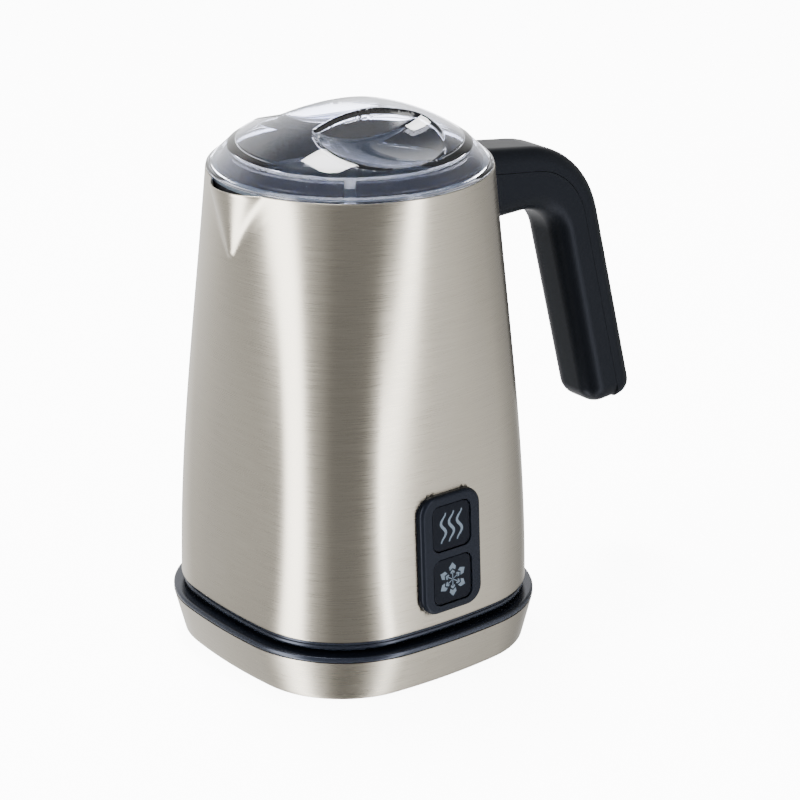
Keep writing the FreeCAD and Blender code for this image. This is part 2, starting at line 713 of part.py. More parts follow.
def make_motor():
    """The motor: its can, end plate, bushes, magnets and winding, held by a four-legged bracket."""
    bracket_top = d.bracket_low + d.bracket_thick
    legs = square_places(d.leg_place)
    cover_top = d.cover_low + d.cover_thick
    bracket = new_body("motor_bracket")
    disc = new_sketch(bracket, "XY_Plane", d.bracket_low)
    draw_circle(disc, 0, 0, d.bracket_radius)
    draw_circle(disc, 0, 0, 5.2)
    pad(bracket, disc, d.bracket_thick)
    pad(bracket, circle_pattern(bracket, legs, d.leg_radius, cover_top), d.bracket_low - cover_top + 0.5)
    studs = circle_pattern(bracket, square_places(d.stud_place), d.stud_radius, bracket_top - 0.5)
    pad(bracket, studs, d.bowl_floor - d.bowl_wall - bracket_top + 0.5)
    pocket(bracket, circle_pattern(bracket, legs, d.screw_hole, cover_top), 14)

    bush_hole = 3.0
    can_wall = 1.0
    end_top = d.motor_low + 2
    turned("motor_can", [
        (d.motor_radius - can_wall, d.motor_low), (d.motor_radius, d.motor_low),
        (d.motor_radius, d.bracket_low), (5, d.bracket_low), (5, d.bracket_low + 3),
        (bush_hole, d.bracket_low + 3), (bush_hole, d.bracket_low - can_wall),
        (d.motor_radius - can_wall, d.bracket_low - can_wall),
    ])
    ring("motor_endplate", bush_hole, d.motor_radius - can_wall, d.motor_low, end_top)
    bore = d.shaft_radius + d.running_gap
    bushes = []
    for name, low in (("lower", d.motor_low), ("upper", d.bracket_low)):
        outer = primitive("Cylinder", f"{name}_bush_blank", {"Radius": bush_hole, "Height": 3}, (0, 0, low))
        inner = primitive("Cylinder", f"{name}_bush_bore", {"Radius": bore, "Height": 3}, (0, 0, low))
        bushes.append(cut(f"{name}_bush", outer, inner))
    keep(join("motor_bushes", bushes, "Compound"))
    segments = []
    for side in (0, 180):
        blank = primitive("Cylinder", f"stator_blank_{side}", {"Radius": d.motor_radius - can_wall, "Height": 16,
                          "Angle": 130}, (0, 0, end_top + 3), FreeCAD.Rotation(Z_AXIS, side))
        inner = primitive("Cylinder", f"stator_bore_{side}", {"Radius": 10.2, "Height": 16}, (0, 0, end_top + 3))
        segments.append(cut(f"stator_magnet_{side}", blank, inner))
    keep(join("stator_magnets", segments, "Compound"))


def make_rotor():
    """What the motor turns: shaft, winding and the carrier whose magnets drag the whisk round."""
    ring("motor_shaft", 0, d.shaft_radius, d.motor_low - 0.5, d.carrier_top - 1)
    ring("armature", d.shaft_radius + 0.02, 9.6, d.motor_low + 6, d.motor_low + 20)
    carrier = new_body("magnet_carrier")
    turn(carrier, [
        (d.shaft_radius + 0.02, d.carrier_low - 3), (5, d.carrier_low - 3), (5, d.carrier_low),
        (d.carrier_radius, d.carrier_low), (d.carrier_radius, d.carrier_top),
        (d.shaft_radius + 0.02, d.carrier_top),
    ])
    places = [(-d.magnet_place, 0), (d.magnet_place, 0)]
    seats = circle_pattern(carrier, places, d.magnet_radius + 0.05, d.carrier_top - d.magnet_high)
    pocket(carrier, seats, d.magnet_high + 1)
    magnet_group("drive_magnets", d.carrier_top - d.magnet_high)


def magnet_group(label, low):
    """A pair of button magnets, one each side of the axis."""
    sizes = {"Radius": d.magnet_radius, "Height": d.magnet_high}
    pair = [
        primitive("Cylinder", f"{label}_{number}", sizes, (d.magnet_place * side, 0, low))
        for number, side in enumerate((-1, 1), start=1)
    ]
    keep(join(label, pair, "Compound"))


def make_whisk():
    """The whisk: a bush that sits on the spindle, a hub that turns on it and the coil ring."""
    low = d.bowl_floor + 1.0
    bush_inner = d.spindle_radius + d.running_gap
    hub_inner = d.bush_radius + d.running_gap
    ring("whisk_bush", bush_inner, d.bush_radius, low, low + 13)
    hub = new_body("whisk_hub")
    turn(hub, [
        (hub_inner, low + 0.5), (d.carrier_radius - 1, low + 0.5), (d.carrier_radius - 1, low + 6.5),
        (d.whisk_boss, low + 6.5), (d.whisk_boss, low + 12.5), (hub_inner, low + 12.5),
    ])
    arms = new_sketch(hub, "XY_Plane", low + 8.5)
    arm_start = d.whisk_boss - 0.8
    arm_end = d.coil_ring - d.coil_wire - 0.1
    for side in (-1, 1):
        arm_middle = (arm_start + arm_end) * side / 2
        draw_rounded_box(arms, arm_middle, 0, (arm_end - arm_start) / 2, 1.5, 1)
    pad(hub, arms, 3)
    places = [(-d.magnet_place, 0), (d.magnet_place, 0)]
    seats = circle_pattern(hub, places, d.magnet_radius + 0.05, low + 0.5)
    pocket(hub, seats, d.magnet_high)
    magnet_group("whisk_magnets", low + 0.5)
    coil_sizes = {"Radius1": d.coil_ring, "Radius2": d.coil_wire}
    keep(primitive("Torus", "whisk_coil", coil_sizes, (0, 0, low + 10)))


def handle_screw_heights():
    """Heights of the two screws that hold the handle's root to the shell."""
    return (150.5, 158.5)


def make_handle():
    """The handle: an inner grip and an outer strip along its back, bolted on at the top only.

    The seam between them runs level out of the shell, bends by one large arc and goes down the leg.
    """
    seam_top, seam_bend, seam_foot = (d.handle_root, 164.3), (94.0, 158.6), (118.7, 64.0)
    back_top, back_bend, back_foot = (d.handle_root, 173.1), (100.4, 166.1), (126.4, 66.2)
    under_top, under_bend, under_foot = (d.handle_root, 144.6), (84.6, 146.3), (106.2, 62.8)
    grip = new_body("handle_inner")
    side = new_sketch(grip, "XZ_Plane")
    draw_loop(side, [
        under_top, (*under_bend, d.handle_round - d.grip_strip), (*under_foot, 8), seam_foot,
        (*seam_bend, d.handle_round), seam_top,
    ])
    blank = pad(grip, side, d.handle_half * 2, both=True)
    doc.recompute()
    soften = grip.newObject("PartDesign::Fillet", "handle_inner_rounding")
    soften.Base = (blank, flank_edges(blank, facing=-1))
    soften.setExpression("Radius", d.grip_edge.text)
    loft(grip, "SubtractiveLoft", shell_sections(grip, -0.05))
    holes = new_sketch(grip, "YZ_Plane", d.handle_root)
    for high in handle_screw_heights():
        draw_circle(holes, 0, high, d.screw_hole)
    pocket(grip, holes, 20)

    strip = new_body("handle_cover")
    side = new_sketch(strip, "XZ_Plane")
    gap = DIMENSIONS["seam_gap"]
    draw_loop(side, [
        (seam_top[0], seam_top[1] + gap), (seam_bend[0] + gap, seam_bend[1] + gap, d.handle_round + d.seam_gap),
        (seam_foot[0] + gap, seam_foot[1]), (*back_foot, 6),
        (*back_bend, d.handle_round + d.cover_strip), back_top,
    ])
    blank = pad(strip, side, d.handle_half * 2, both=True)
    doc.recompute()
    soften = strip.newObject("PartDesign::Fillet", "handle_cover_rounding")
    soften.Base = (blank, flank_edges(blank, facing=1))
    soften.setExpression("Radius", d.strip_edge.text)
    loft(strip, "SubtractiveLoft", shell_sections(strip, -0.05))

    bracket = new_body("handle_bracket")
    plate = new_sketch(bracket, "YZ_Plane", 45.2)
    draw_rounded_box(plate, 0, 154.5, 9, 8, 2)
    for high in handle_screw_heights():
        draw_circle(plate, 0, high, d.screw_hole)
    pad(bracket, plate, 1.8)
    outward = FreeCAD.Rotation(Vector(0, 1, 0), 90)
    screws("handle_screws", [(45.2, 0, high) for high in handle_screw_heights()], 18, outward)


# ---------------------------------------------------------------- control panel

def tilt_with_panel(body):
    """Set a piece into the panel's frame, on the shell's sloping front."""
    body.Placement = FreeCAD.Placement(Vector(), FreeCAD.Rotation(X_AXIS, DIMENSIONS["panel_tilt"]))
    body.setExpression("Placement.Base.y", (-d.panel_reach).text)
    body.setExpression("Placement.Base.z", d.panel_high.text)


def make_panel():
    """The panel: a bezel let into the shell, two push buttons, their switches and the board.

    In the panel's frame -Y points out of the shell, and Y = 0 is the shell's surface.
    """
    front = d.panel_proud
    bezel = new_body("panel_bezel")
    outline = new_sketch(bezel, "XZ_Plane", front)
    draw_rounded_box(outline, 0, 0, d.panel_half_wide, d.panel_half_tall, d.panel_corner)
    block = pad(bezel, outline, front + d.panel_depth, reverse=True)
    doc.recompute()
    rounding = bezel.newObject("PartDesign::Fillet", "panel_bezel_rounding")
    rounding.Base = (block, front_edges(block, -front.value))
    rounding.setExpression("Radius", d.panel_edge.text)
    hollow = new_sketch(bezel, "XZ_Plane", front - d.panel_front)
    draw_rounded_box(hollow, 0, 0, d.panel_half_wide - d.panel_side, d.panel_half_tall - d.panel_side,
                     d.panel_corner - d.panel_side)
    pocket(bezel, hollow, d.panel_depth + 1, forward=False)
    windows = new_sketch(bezel, "XZ_Plane", front + 1)
    opening = d.button_half + d.button_gap
    for place in (d.heat_place, d.cold_place):
        draw_rounded_box(windows, 0, place, opening, opening, d.button_corner + d.button_gap)
    pocket(bezel, windows, d.panel_front + 1.5, forward=False)
    tilt_with_panel(bezel)

    board_front = d.panel_depth
    for name, place in (("heat", d.heat_place), ("cold", d.cold_place)):
        make_button(f"{name}_button", place)
        switch = new_body(f"{name}_switch")
        base = new_sketch(switch, "XZ_Plane", -board_front)
        draw_rounded_box(base, 0, place, 3, 3, 0.4)
        pad(switch, base, 3.4)
        plunger = new_sketch(switch, "XZ_Plane", -(board_front - 3.0))
        draw_circle(plunger, 0, place, 1.7)
        pad(switch, plunger, 1.7)
        tilt_with_panel(switch)

    board = new_body("control_board")
    outline = new_sketch(board, "XZ_Plane", -board_front)
    draw_rounded_box(outline, 0, 0, d.panel_half_wide - 0.4, d.panel_half_tall - 0.4, 2)
    pad(board, outline, 1.6, reverse=True)
    tilt_with_panel(board)


def make_button(label, place):
    """A push button: a square cap, the wider flange that keeps it in, and its stem."""
    flange_front = as_size(-0.3)
    button = new_body(label)
    cap = new_sketch(button, "XZ_Plane", flange_front)
    draw_rounded_box(cap, 0, place, d.button_half, d.button_half, d.button_corner)
    block = pad(button, cap, d.button_proud - flange_front)
    doc.recompute()
    rounding = button.newObject("PartDesign::Fillet", f"{label}_rounding")
    rounding.Base = (block, front_edges(block, -d.button_proud.value))
    rounding.Radius = 0.4
    flange = new_sketch(button, "XZ_Plane", flange_front)
    draw_rounded_box(flange, 0, place, d.button_half + d.button_flange, d.button_half + d.button_flange,
                     d.button_corner)
    pad(button, flange, 1.2, reverse=True)
    stem = new_sketch(button, "XZ_Plane", flange_front - 1.0)
    draw_circle(stem, 0, place, 2)
    pad(button, stem, 0.9, reverse=True)
    tilt_with_panel(button)


# ---------------------------------------------------------------- lid

def scoop_balls(label, extra):
    """The two balls that shape the lid's finger scoops, larger than the scoops by an extra."""
    balls = []
    for number, side in enumerate((-1, 1), start=1):
        place = (d.scoop_x * side, d.scoop_y * side, d.scoop_z)
        balls.append(primitive("Sphere", f"{label}_{number}", {"Radius": d.scoop_sphere + extra}, place))
    return join(label, balls)


def make_lid():
    """The clear lid: a beveled dome with a finger scoop each side of its grip, and its seal.

    The dome's arc runs between a level line at its top and the line from its foot. The scoops' walls
    are those parts of two larger balls that lie inside the lid's outer form.
    """
    thick = d.lid_thick
    crown, inner_crown = 23.0, 22.4
    outer_side = [
        (d.lid_radius, d.lid_bottom), (d.lid_radius, d.lid_wall_top), (d.dome_radius, d.dome_bottom),
        (crown, d.dome_top, d.dome_sphere - 1.6), (0, d.dome_top),
    ]
    inner_side = [
        (0, d.dome_top - thick), (inner_crown, d.dome_top - thick, 56), (d.skirt_inner, d.dome_bottom + 0.5),
        (d.skirt_inner, d.skirt_bottom), (d.skirt_outer, d.skirt_bottom), (d.skirt_outer, d.dome_bottom - 1.6),
        (d.lid_radius - thick, d.lid_wall_top - 0.4), (d.lid_radius - thick, d.lid_bottom),
    ]
    shell = turned("lid_shell", outer_side + inner_side, whole=False)
    form = turned("lid_form", outer_side + [(0, d.lid_bottom)], whole=False)
    walls = doc.addObject("Part::Common", "scoop_walls")
    walls.Base = form
    walls.Tool = scoop_balls("scoop_wall_ball", thick)
    keep(cut("lid_cover", join("lid_walled", [shell, walls]), scoop_balls("scoop_ball", 0)))
    seal_inner = d.skirt_outer + 0.1
    turned("lid_seal", [
        (seal_inner, d.skirt_bottom + 1), (d.bowl_mouth - 0.5, d.skirt_bottom + 1),
        (d.bowl_mouth - 0.5, d.lid_bottom), (45.0, d.lid_bottom), (45.0, 176.9), (42.2, 179.4),
        (seal_inner, 179.4),
    ])


# ---------------------------------------------------------------- edges for the roundings

def level_edges(feature, height, beyond):
    """Names of the edges that lie at one height, further out than a radius."""
    names = []
    for number, edge in enumerate(feature.Shape.Edges, start=1):
        box = edge.BoundBox
        level = abs(box.ZMin - height) < 1e-4 and abs(box.ZMax - height) < 1e-4
        if level and edge.Vertexes[0].Point.Length > beyond:
            names.append(f"Edge{number}")
    return names


def front_edges(feature, depth):
    """Names of the edges that lie in the plane Y = depth."""
    return [
        f"Edge{number}"
        for number, edge in enumerate(feature.Shape.Edges, start=1)
        if abs(edge.BoundBox.YMin - depth) < 1e-4 and abs(edge.BoundBox.YMax - depth) < 1e-4
    ]


def flank_edges(feature, facing):
    """Names of the handle's long side edges: facing is 1 along its back and -1 on its under side.

    An edge counts by the way its narrow face looks, so the seam's edges are left out; so are those
    of the root's end face, which lies inside the jug's outline.
    """
    backward = Vector(1, 0, 0.2)
    names = []
    for number, edge in enumerate(feature.Shape.Edges, start=1):
        box = edge.BoundBox
        if box.YLength > 1e-4 or box.XMax < DIMENSIONS["handle_root"] + 1:
            continue
        middle = edge.valueAt((edge.FirstParameter + edge.LastParameter) / 2)
        for face in feature.Shape.ancestorsOfType(edge, Part.Face):
            normal = face.normalAt(*face.Surface.parameter(middle))
            if abs(normal.y) < 0.5 and normal.dot(backward) * facing > 0:
                names.append(f"Edge{number}")
    return names


make_base()
make_coupler()
make_cord_entry()
make_socket()
make_shell()
make_underside()
make_bowl()
make_heater()
make_motor()
make_rotor()
make_whisk()
make_handle()
make_panel()
make_lid()
doc.recompute()

for item in doc.Objects:
    if "Invalid" in item.State or "Error" in item.State:
        raise RuntimeError(f"{item.Label} did not build: {item.State}")
for part in sub_parts:
    if part.Shape.isNull() or not part.Shape.isValid():
        raise RuntimeError(f"{part.Label} has no valid shape")
for part in sub_parts:
    part.Shape.exportStep(f"parts/{part.Label}.step")
    print(f"{part.Label:20} {len(part.Shape.Solids)} solids, {part.Shape.Volume:10.1f} mm3")
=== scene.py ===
"""Looks for the milk frother: brushed steel jug, clear lid, black handle, panel and power base."""

import math
from types import SimpleNamespace

import bmesh
import bpy
from bpy.props import FloatProperty, FloatVectorProperty, PointerProperty
from mathutils import Matrix, Vector


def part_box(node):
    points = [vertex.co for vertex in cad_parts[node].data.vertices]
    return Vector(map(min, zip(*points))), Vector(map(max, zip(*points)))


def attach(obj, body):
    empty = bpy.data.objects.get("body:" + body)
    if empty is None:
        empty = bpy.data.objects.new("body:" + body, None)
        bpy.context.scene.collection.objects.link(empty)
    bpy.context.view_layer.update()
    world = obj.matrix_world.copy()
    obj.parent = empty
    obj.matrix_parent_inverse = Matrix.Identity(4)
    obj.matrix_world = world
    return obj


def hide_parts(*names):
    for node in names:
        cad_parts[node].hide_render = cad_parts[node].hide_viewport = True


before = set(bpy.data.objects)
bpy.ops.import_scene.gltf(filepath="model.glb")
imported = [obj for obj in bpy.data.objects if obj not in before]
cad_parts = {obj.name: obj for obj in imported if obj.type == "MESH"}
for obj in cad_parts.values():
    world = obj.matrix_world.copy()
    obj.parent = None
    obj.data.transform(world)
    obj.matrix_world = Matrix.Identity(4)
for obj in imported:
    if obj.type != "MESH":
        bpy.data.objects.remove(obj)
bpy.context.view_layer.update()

bl_info = {
    "name": "Milk Frother",
    "version": (1, 0, 0),
    "blender": (4, 5, 0),
    "location": "View3D > Sidebar > Frother",
    "description": "Builds the looks of a cordless milk frother round its engineering model",
    "category": "Add Mesh",
}

# The pieces are shaped in millimetres and brought to metres when they are finished.
MM = 0.001
# Steps round the jug's axis: one a degree keeps the bowed outlines smooth.
ROUND_STEPS = 360
TURN_STEPS = 160
LID_STEPS = 288
ARC_STEP = math.radians(6)


# ---------------------------------------------------------------- colours and nodes

def srgb(code):
    """Turn an sRGB hex colour such as #A0A0A0 into linear red, green, blue and 1 for alpha."""
    channels = [int(code[i:i + 2], 16) / 255 for i in (1, 3, 5)]
    linear = [c / 12.92 if c <= 0.04045 else ((c + 0.055) / 1.055) ** 2.4 for c in channels]
    return (*linear, 1.0)


def add_node(tree, kind, settings=None, inputs=None, links=None):
    """Add a node: its properties, its sockets' constants and its links {socket: output}."""
    node = tree.nodes.new(kind)
    for name, value in (settings or {}).items():
        setattr(node, name, value)
    for name, value in (inputs or {}).items():
        node.inputs[name].default_value = value
    for name, output in (links or {}).items():
        tree.links.new(output, node.inputs[name])
    return node


def new_material(name, **shader):
    """Start a material with one Principled shader and return it with its tree and shader."""
    material = bpy.data.materials.new(name)
    material.use_nodes = True
    tree = material.node_tree
    tree.nodes.clear()
    bsdf = add_node(tree, "ShaderNodeBsdfPrincipled", inputs=shader)
    add_node(tree, "ShaderNodeOutputMaterial", links={"Surface": bsdf.outputs["BSDF"]})
    return material, tree, bsdf


def pattern(tree, size_mm, detail=2.0, roughness=0.5, stretch=(1.0, 1.0, 1.0)):
    """A cloudy pattern of a real size on object coordinates, with a scale for each axis."""
    place = add_node(tree, "ShaderNodeTexCoord")
    mapping = add_node(tree, "ShaderNodeMapping", inputs={"Scale": stretch},
                       links={"Vector": place.outputs["Object"]})
    cloud = add_node(tree, "ShaderNodeTexNoise",
                     inputs={"Scale": 1 / (size_mm * MM), "Detail": detail, "Roughness": roughness},
                     links={"Vector": mapping.outputs["Vector"]})
    return cloud.outputs["Fac"]


def vary(tree, bsdf, colour=None, roughness=None, height=None):
    """Vary a surface by patterns.

    Colour and roughness are each a pattern with the two ends that it runs between, and height is
    a pattern with its depth in millimetres and its strength.
    """
    if colour:
        value, first, second = colour
        blend = add_node(tree, "ShaderNodeMix", {"data_type": "RGBA"}, {"A": first, "B": second},
                         {"Factor": value})
        tree.links.new(blend.outputs["Result"], bsdf.inputs["Base Color"])
    if roughness:
        value, low, high = roughness
        span = add_node(tree, "ShaderNodeMapRange", inputs={"To Min": low, "To Max": high},
                        links={"Value": value})
        tree.links.new(span.outputs["Result"], bsdf.inputs["Roughness"])
    if height:
        value, depth_mm, strength = height
        relief = add_node(tree, "ShaderNodeBump",
                          inputs={"Strength": strength, "Distance": depth_mm * MM},
                          links={"Height": value})
        tree.links.new(relief.outputs["Normal"], bsdf.inputs["Normal"])


def dimmed(colour, factor):
    """A linear colour made darker, or brighter by a factor above 1."""
    return (*(Vector(colour[:3]) * factor), 1.0)


def brushed_steel(name, colour, dark):
    """Stainless steel sheet, brushed round the jug: long fine level scratches that pull every
    highlight out into a tall soft band, with slow cloudy changes where the belt pressed harder."""
    material, tree, bsdf = new_material(name, **{"Metallic": 1.0, "Anisotropic": 0.8,
                                                 "Anisotropic Rotation": 0.25})
    grain_high = 0.3   # mm from scratch to scratch: a real one is finer and wouldn't show
    grain_long = 14.0   # mm along a scratch
    cloud_wide = 38.0   # mm across a cloud
    thin = grain_high / grain_long
    scratches = pattern(tree, grain_high, 3.0, 0.65, (thin, thin, 1.0))
    clouds = pattern(tree, cloud_wide, stretch=(1.0, 1.0, 0.45))
    cloud_part = add_node(tree, "ShaderNodeMath", {"operation": "MULTIPLY"}, {1: 0.45}, {0: clouds})
    blend = add_node(tree, "ShaderNodeMath", {"operation": "MULTIPLY_ADD"}, {1: 0.55},
                     {0: scratches, 2: cloud_part.outputs[0]})
    vary(tree, bsdf, colour=(blend.outputs[0], dark, colour), roughness=(scratches, 0.18, 0.42),
         height=(scratches, 0.012, 0.5))
    tangent = add_node(tree, "ShaderNodeTangent", {"direction_type": "RADIAL", "axis": "Z"})
    tree.links.new(tangent.outputs["Tangent"], bsdf.inputs["Tangent"])
    return material


def moulded_plastic(name, colour, roughness, grit_mm=0.25, depth_mm=0.006, shine=0.2):
    """ABS moulded in a spark-etched tool: a fine even grain that keeps the shine soft."""
    material, tree, bsdf = new_material(name, **{"Roughness": roughness, "IOR": 1.53,
                                                 "Specular IOR Level": shine,
                                                 "Specular Tint": srgb("#DDE6FF")})
    flow_wide = 30.0   # mm across a patch of slightly different colour
    grain = pattern(tree, grit_mm)
    flow = pattern(tree, flow_wide, detail=1.0)
    vary(tree, bsdf, colour=(flow, dimmed(colour, 0.86), dimmed(colour, 1.12)),
         roughness=(grain, roughness - 0.04, roughness + 0.05), height=(grain, depth_mm, 1.0))
    return material


def clear_plastic(name, colour):
    """Clear moulded SAN: polished, faintly blue-violet, darkest where one looks along its edges."""
    material, tree, bsdf = new_material(name, **{"Roughness": 0.015, "IOR": 1.5,
                                                 "Transmission Weight": 1.0})
    flow_wide = 14.0   # mm from wave to wave of the moulding's flow
    flow = pattern(tree, flow_wide, detail=1.0)
    vary(tree, bsdf, colour=(flow, colour, srgb("#FFFFFF")), height=(flow, 0.02, 0.4))
    return material


def coated_aluminium(name, colour):
    """Pressed bowl with a sprayed non-stick coat: dark grey, fine orange peel, a soft sheen."""
    material, tree, bsdf = new_material(name, Roughness=0.38, IOR=1.45, Metallic=0.25)
    peel_wide = 0.9   # mm from dimple to dimple
    speck_wide = 0.3   # mm across a speck: a real one is finer and wouldn't show
    peel = pattern(tree, peel_wide)
    speck = pattern(tree, speck_wide, detail=0.0)
    vary(tree, bsdf, colour=(speck, dimmed(colour, 0.8), dimmed(colour, 1.25)),
         height=(peel, 0.02, 1.0))
    return material


def soft_rubber(name, colour, roughness):
    """Moulded silicone rubber: deep colour, slightly uneven bloom."""
    material, tree, bsdf = new_material(name, Roughness=roughness, IOR=1.42)
    bloom_wide = 5.0   # mm across a patch of bloom
    bloom = pattern(tree, bloom_wide, detail=3.0)
    vary(tree, bsdf, colour=(bloom, colour, dimmed(colour, 1.3)),
         roughness=(bloom, roughness - 0.06, roughness + 0.08), height=(bloom, 0.01, 1.0))
    return material


def plain_metal(name, colour, roughness):
    """Turned or rolled metal with fine machining marks."""
    material, tree, bsdf = new_material(name, Metallic=1.0, Roughness=roughness)
    mark_high = 0.4   # mm from mark to mark: a real one is finer and wouldn't show
    marks = pattern(tree, mark_high, stretch=(0.1, 0.1, 1.0))
    vary(tree, bsdf, colour=(marks, dimmed(colour, 0.85), colour),
         roughness=(marks, roughness - 0.06, roughness + 0.08))
    return material


def printed_ink(name, colour):
    """Screen-printed ink: flat dull blue-grey with a slightly worn, uneven cover."""
    material, tree, bsdf = new_material(name, Roughness=0.5, IOR=1.5)
    wear_wide = 0.8   # mm across a worn spot
    wear = pattern(tree, wear_wide, detail=3.0)
    vary(tree, bsdf, colour=(wear, dimmed(colour, 0.8), dimmed(colour, 1.1)),
         height=(wear, 0.01, 1.0))
    return material


# ---------------------------------------------------------------- shapes

def rounded_outline(corners):
    """A closed outline through corners (x, y) or (x, y, radius), with arcs at the rounds."""
    points = []
    count = len(corners)
    for i, corner in enumerate(corners):
        here = Vector(corner[:2])
        if len(corner) == 2:
            points.append(here)
            continue
        before = (Vector(corners[i - 1][:2]) - here).normalized()
        after = (Vector(corners[(i + 1) % count][:2]) - here).normalized()
        half_turn = before.angle(after) / 2
        centre = here + (before + after).normalized() * (corner[2] / math.sin(half_turn))
        first = here + before * (corner[2] / math.tan(half_turn)) - centre
        sweep = first.angle_signed(here + after * (corner[2] / math.tan(half_turn)) - centre)
        steps = max(2, math.ceil(abs(sweep) / ARC_STEP))
        for step in range(steps + 1):
            angle = -sweep * step / steps
            turned = Vector((first.x * math.cos(angle) - first.y * math.sin(angle),
                             first.x * math.sin(angle) + first.y * math.cos(angle)))
            points.append(centre + turned)
    return points


def rounded_box_corners(half_wide, half_tall, radius, centre=(0, 0)):
    """The four corners of a rounded rectangle."""
    signs = ((-1, -1), (1, -1), (1, 1), (-1, 1))
    return [(centre[0] + half_wide * i, centre[1] + half_tall * j, radius) for i, j in signs]


def bowed_square_reach(angle, half, corner, bow):
    """Distance from the centre to a bowed square's outline in one direction."""
    side_centre = half - bow
    gap = bow - corner
    diagonal = (side_centre + math.sqrt(max(0.0, 2 * gap ** 2 - side_centre ** 2))) / 2
    spread_angle = math.atan2(diagonal, diagonal - side_centre)
    folded = abs((angle + math.pi / 4) % (math.pi / 2) - math.pi / 4)
    side_end = math.atan2(bow * math.sin(spread_angle), side_centre + bow * math.cos(spread_angle))
    if gap < 1e-6:
        return bow
    if folded <= side_end:
        across = side_centre * math.sin(folded)
        return side_centre * math.cos(folded) + math.sqrt(bow ** 2 - across ** 2)
    along = diagonal * (math.cos(folded) + math.sin(folded))
    across = diagonal * (math.cos(folded) - math.sin(folded))
    return along + math.sqrt(corner ** 2 - across ** 2)


def loft_rings(bm, stations, close=False, steps=ROUND_STEPS):
    """Raise a ring of edges through stations, each a function from angle to (radius, height).

    With close, the last ring is bridged to the first, for a wall with both its skins.
    """
    verts = bmesh.ops.create_circle(bm, segments=steps, radius=1.0)["verts"]
    edges = list(dict.fromkeys(edge for vert in verts for edge in vert.link_edges))
    first_edges = edges
    place_ring(verts, stations[0])
    for station in stations[1:]:
        grown = bmesh.ops.extrude_edge_only(bm, edges=edges)["geom"]
        verts = {item for item in grown if isinstance(item, bmesh.types.BMVert)}
        edges = [item for item in grown if isinstance(item, bmesh.types.BMEdge)
                 and verts.issuperset(item.verts)]
        place_ring(verts, station)
    if close:
        bmesh.ops.bridge_loops(bm, edges=first_edges + edges)
    return edges


def place_ring(verts, station):
    """Move a ring's vertices to where the station says."""
    for vert in verts:
        angle = math.atan2(vert.co.y, vert.co.x)
        radius, height = station(angle)
        vert.co = (radius * math.cos(angle), radius * math.sin(angle), height)


def spin_outline(bm, points, steps=TURN_STEPS, close=False):
    """Turn an outline of (radius, height) points round the Z axis."""
    verts = [bm.verts.new((point[0], 0, point[1])) for point in points]
    edges = [bm.edges.new(pair) for pair in zip(verts, verts[1:])]
    if close:
        edges.append(bm.edges.new((verts[-1], verts[0])))
    bmesh.ops.spin(bm, geom=verts + edges, cent=(0, 0, 0), axis=(0, 0, 1), angle=math.tau,
                   steps=steps, use_merge=True)
    bmesh.ops.remove_doubles(bm, verts=bm.verts, dist=1e-4)


def extrude_outline(bm, points, near, far):
    """Make a slab from an outline of (x, z) points, from one depth along Y to another."""
    face = bm.faces.new([bm.verts.new((point[0], near, point[1])) for point in points])
    grown = bmesh.ops.extrude_face_region(bm, geom=[face])["geom"]
    moved = [item for item in grown if isinstance(item, bmesh.types.BMVert)]
    bmesh.ops.translate(bm, verts=moved, vec=(0, far - near, 0))
    bmesh.ops.recalc_face_normals(bm, faces=bm.faces)


def round_edges(bm, edges, radius, segments):
    """Round off edges by a radius."""
    bmesh.ops.bevel(bm, geom=list(edges), offset=radius, offset_type="OFFSET", segments=segments,
                    profile=0.5, affect="EDGES", material=-1, clamp_overlap=True)


def finish_piece(bm, name, material, body, replaced=(), sharp=35, matrix=None):
    """Bring a shape to metres, shade it, and set it on its body."""
    bmesh.ops.remove_doubles(bm, verts=bm.verts, dist=1e-5)
    bmesh.ops.recalc_face_normals(bm, faces=bm.faces)
    if matrix:
        bmesh.ops.transform(bm, matrix=matrix, verts=bm.verts)
    bmesh.ops.scale(bm, vec=(MM, MM, MM), verts=bm.verts)
    mesh = bpy.data.meshes.new(name)
    bm.to_mesh(mesh)
    bm.free()
    piece = bpy.data.objects.new(name, mesh)
    bpy.context.scene.collection.objects.link(piece)
    mesh.materials.append(material)
    shade(piece, sharp)
    if body:
        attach(piece, body)
        if replaced:
            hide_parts(*replaced)
    return piece


def shade(piece, sharp):
    """Shade a piece smooth between its sharp edges, with its flats kept flat."""
    piece.data.shade_smooth()
    piece.data.set_sharp_from_angle(angle=math.radians(sharp))
    flats = piece.modifiers.new("flats", "WEIGHTED_NORMAL")
    flats.keep_sharp = True


def carve(piece, cutters, sharp=35):
    """Cut closed shapes out of a piece and drop them."""
    piece.modifiers.clear()
    for cutter in cutters:
        modifier = piece.modifiers.new("carve", "BOOLEAN")
        modifier.operation = "DIFFERENCE"
        modifier.solver = "EXACT"
        modifier.object = cutter
    depsgraph = bpy.context.evaluated_depsgraph_get()
    carved = bpy.data.meshes.new_from_object(piece.evaluated_get(depsgraph))
    piece.modifiers.clear()
    plain = piece.data
    piece.data = carved
    carved.name = plain.name + "_carved"
    bpy.data.meshes.remove(plain)
    for cutter in cutters:
        bpy.data.objects.remove(cutter)
    shade(piece, sharp)


def paint(nodes, material):
    """Give CAD nodes a material."""
    for name in nodes:
        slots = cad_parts[name].material_slots
        for slot in slots:
            slot.material = material


# ---------------------------------------------------------------- settings

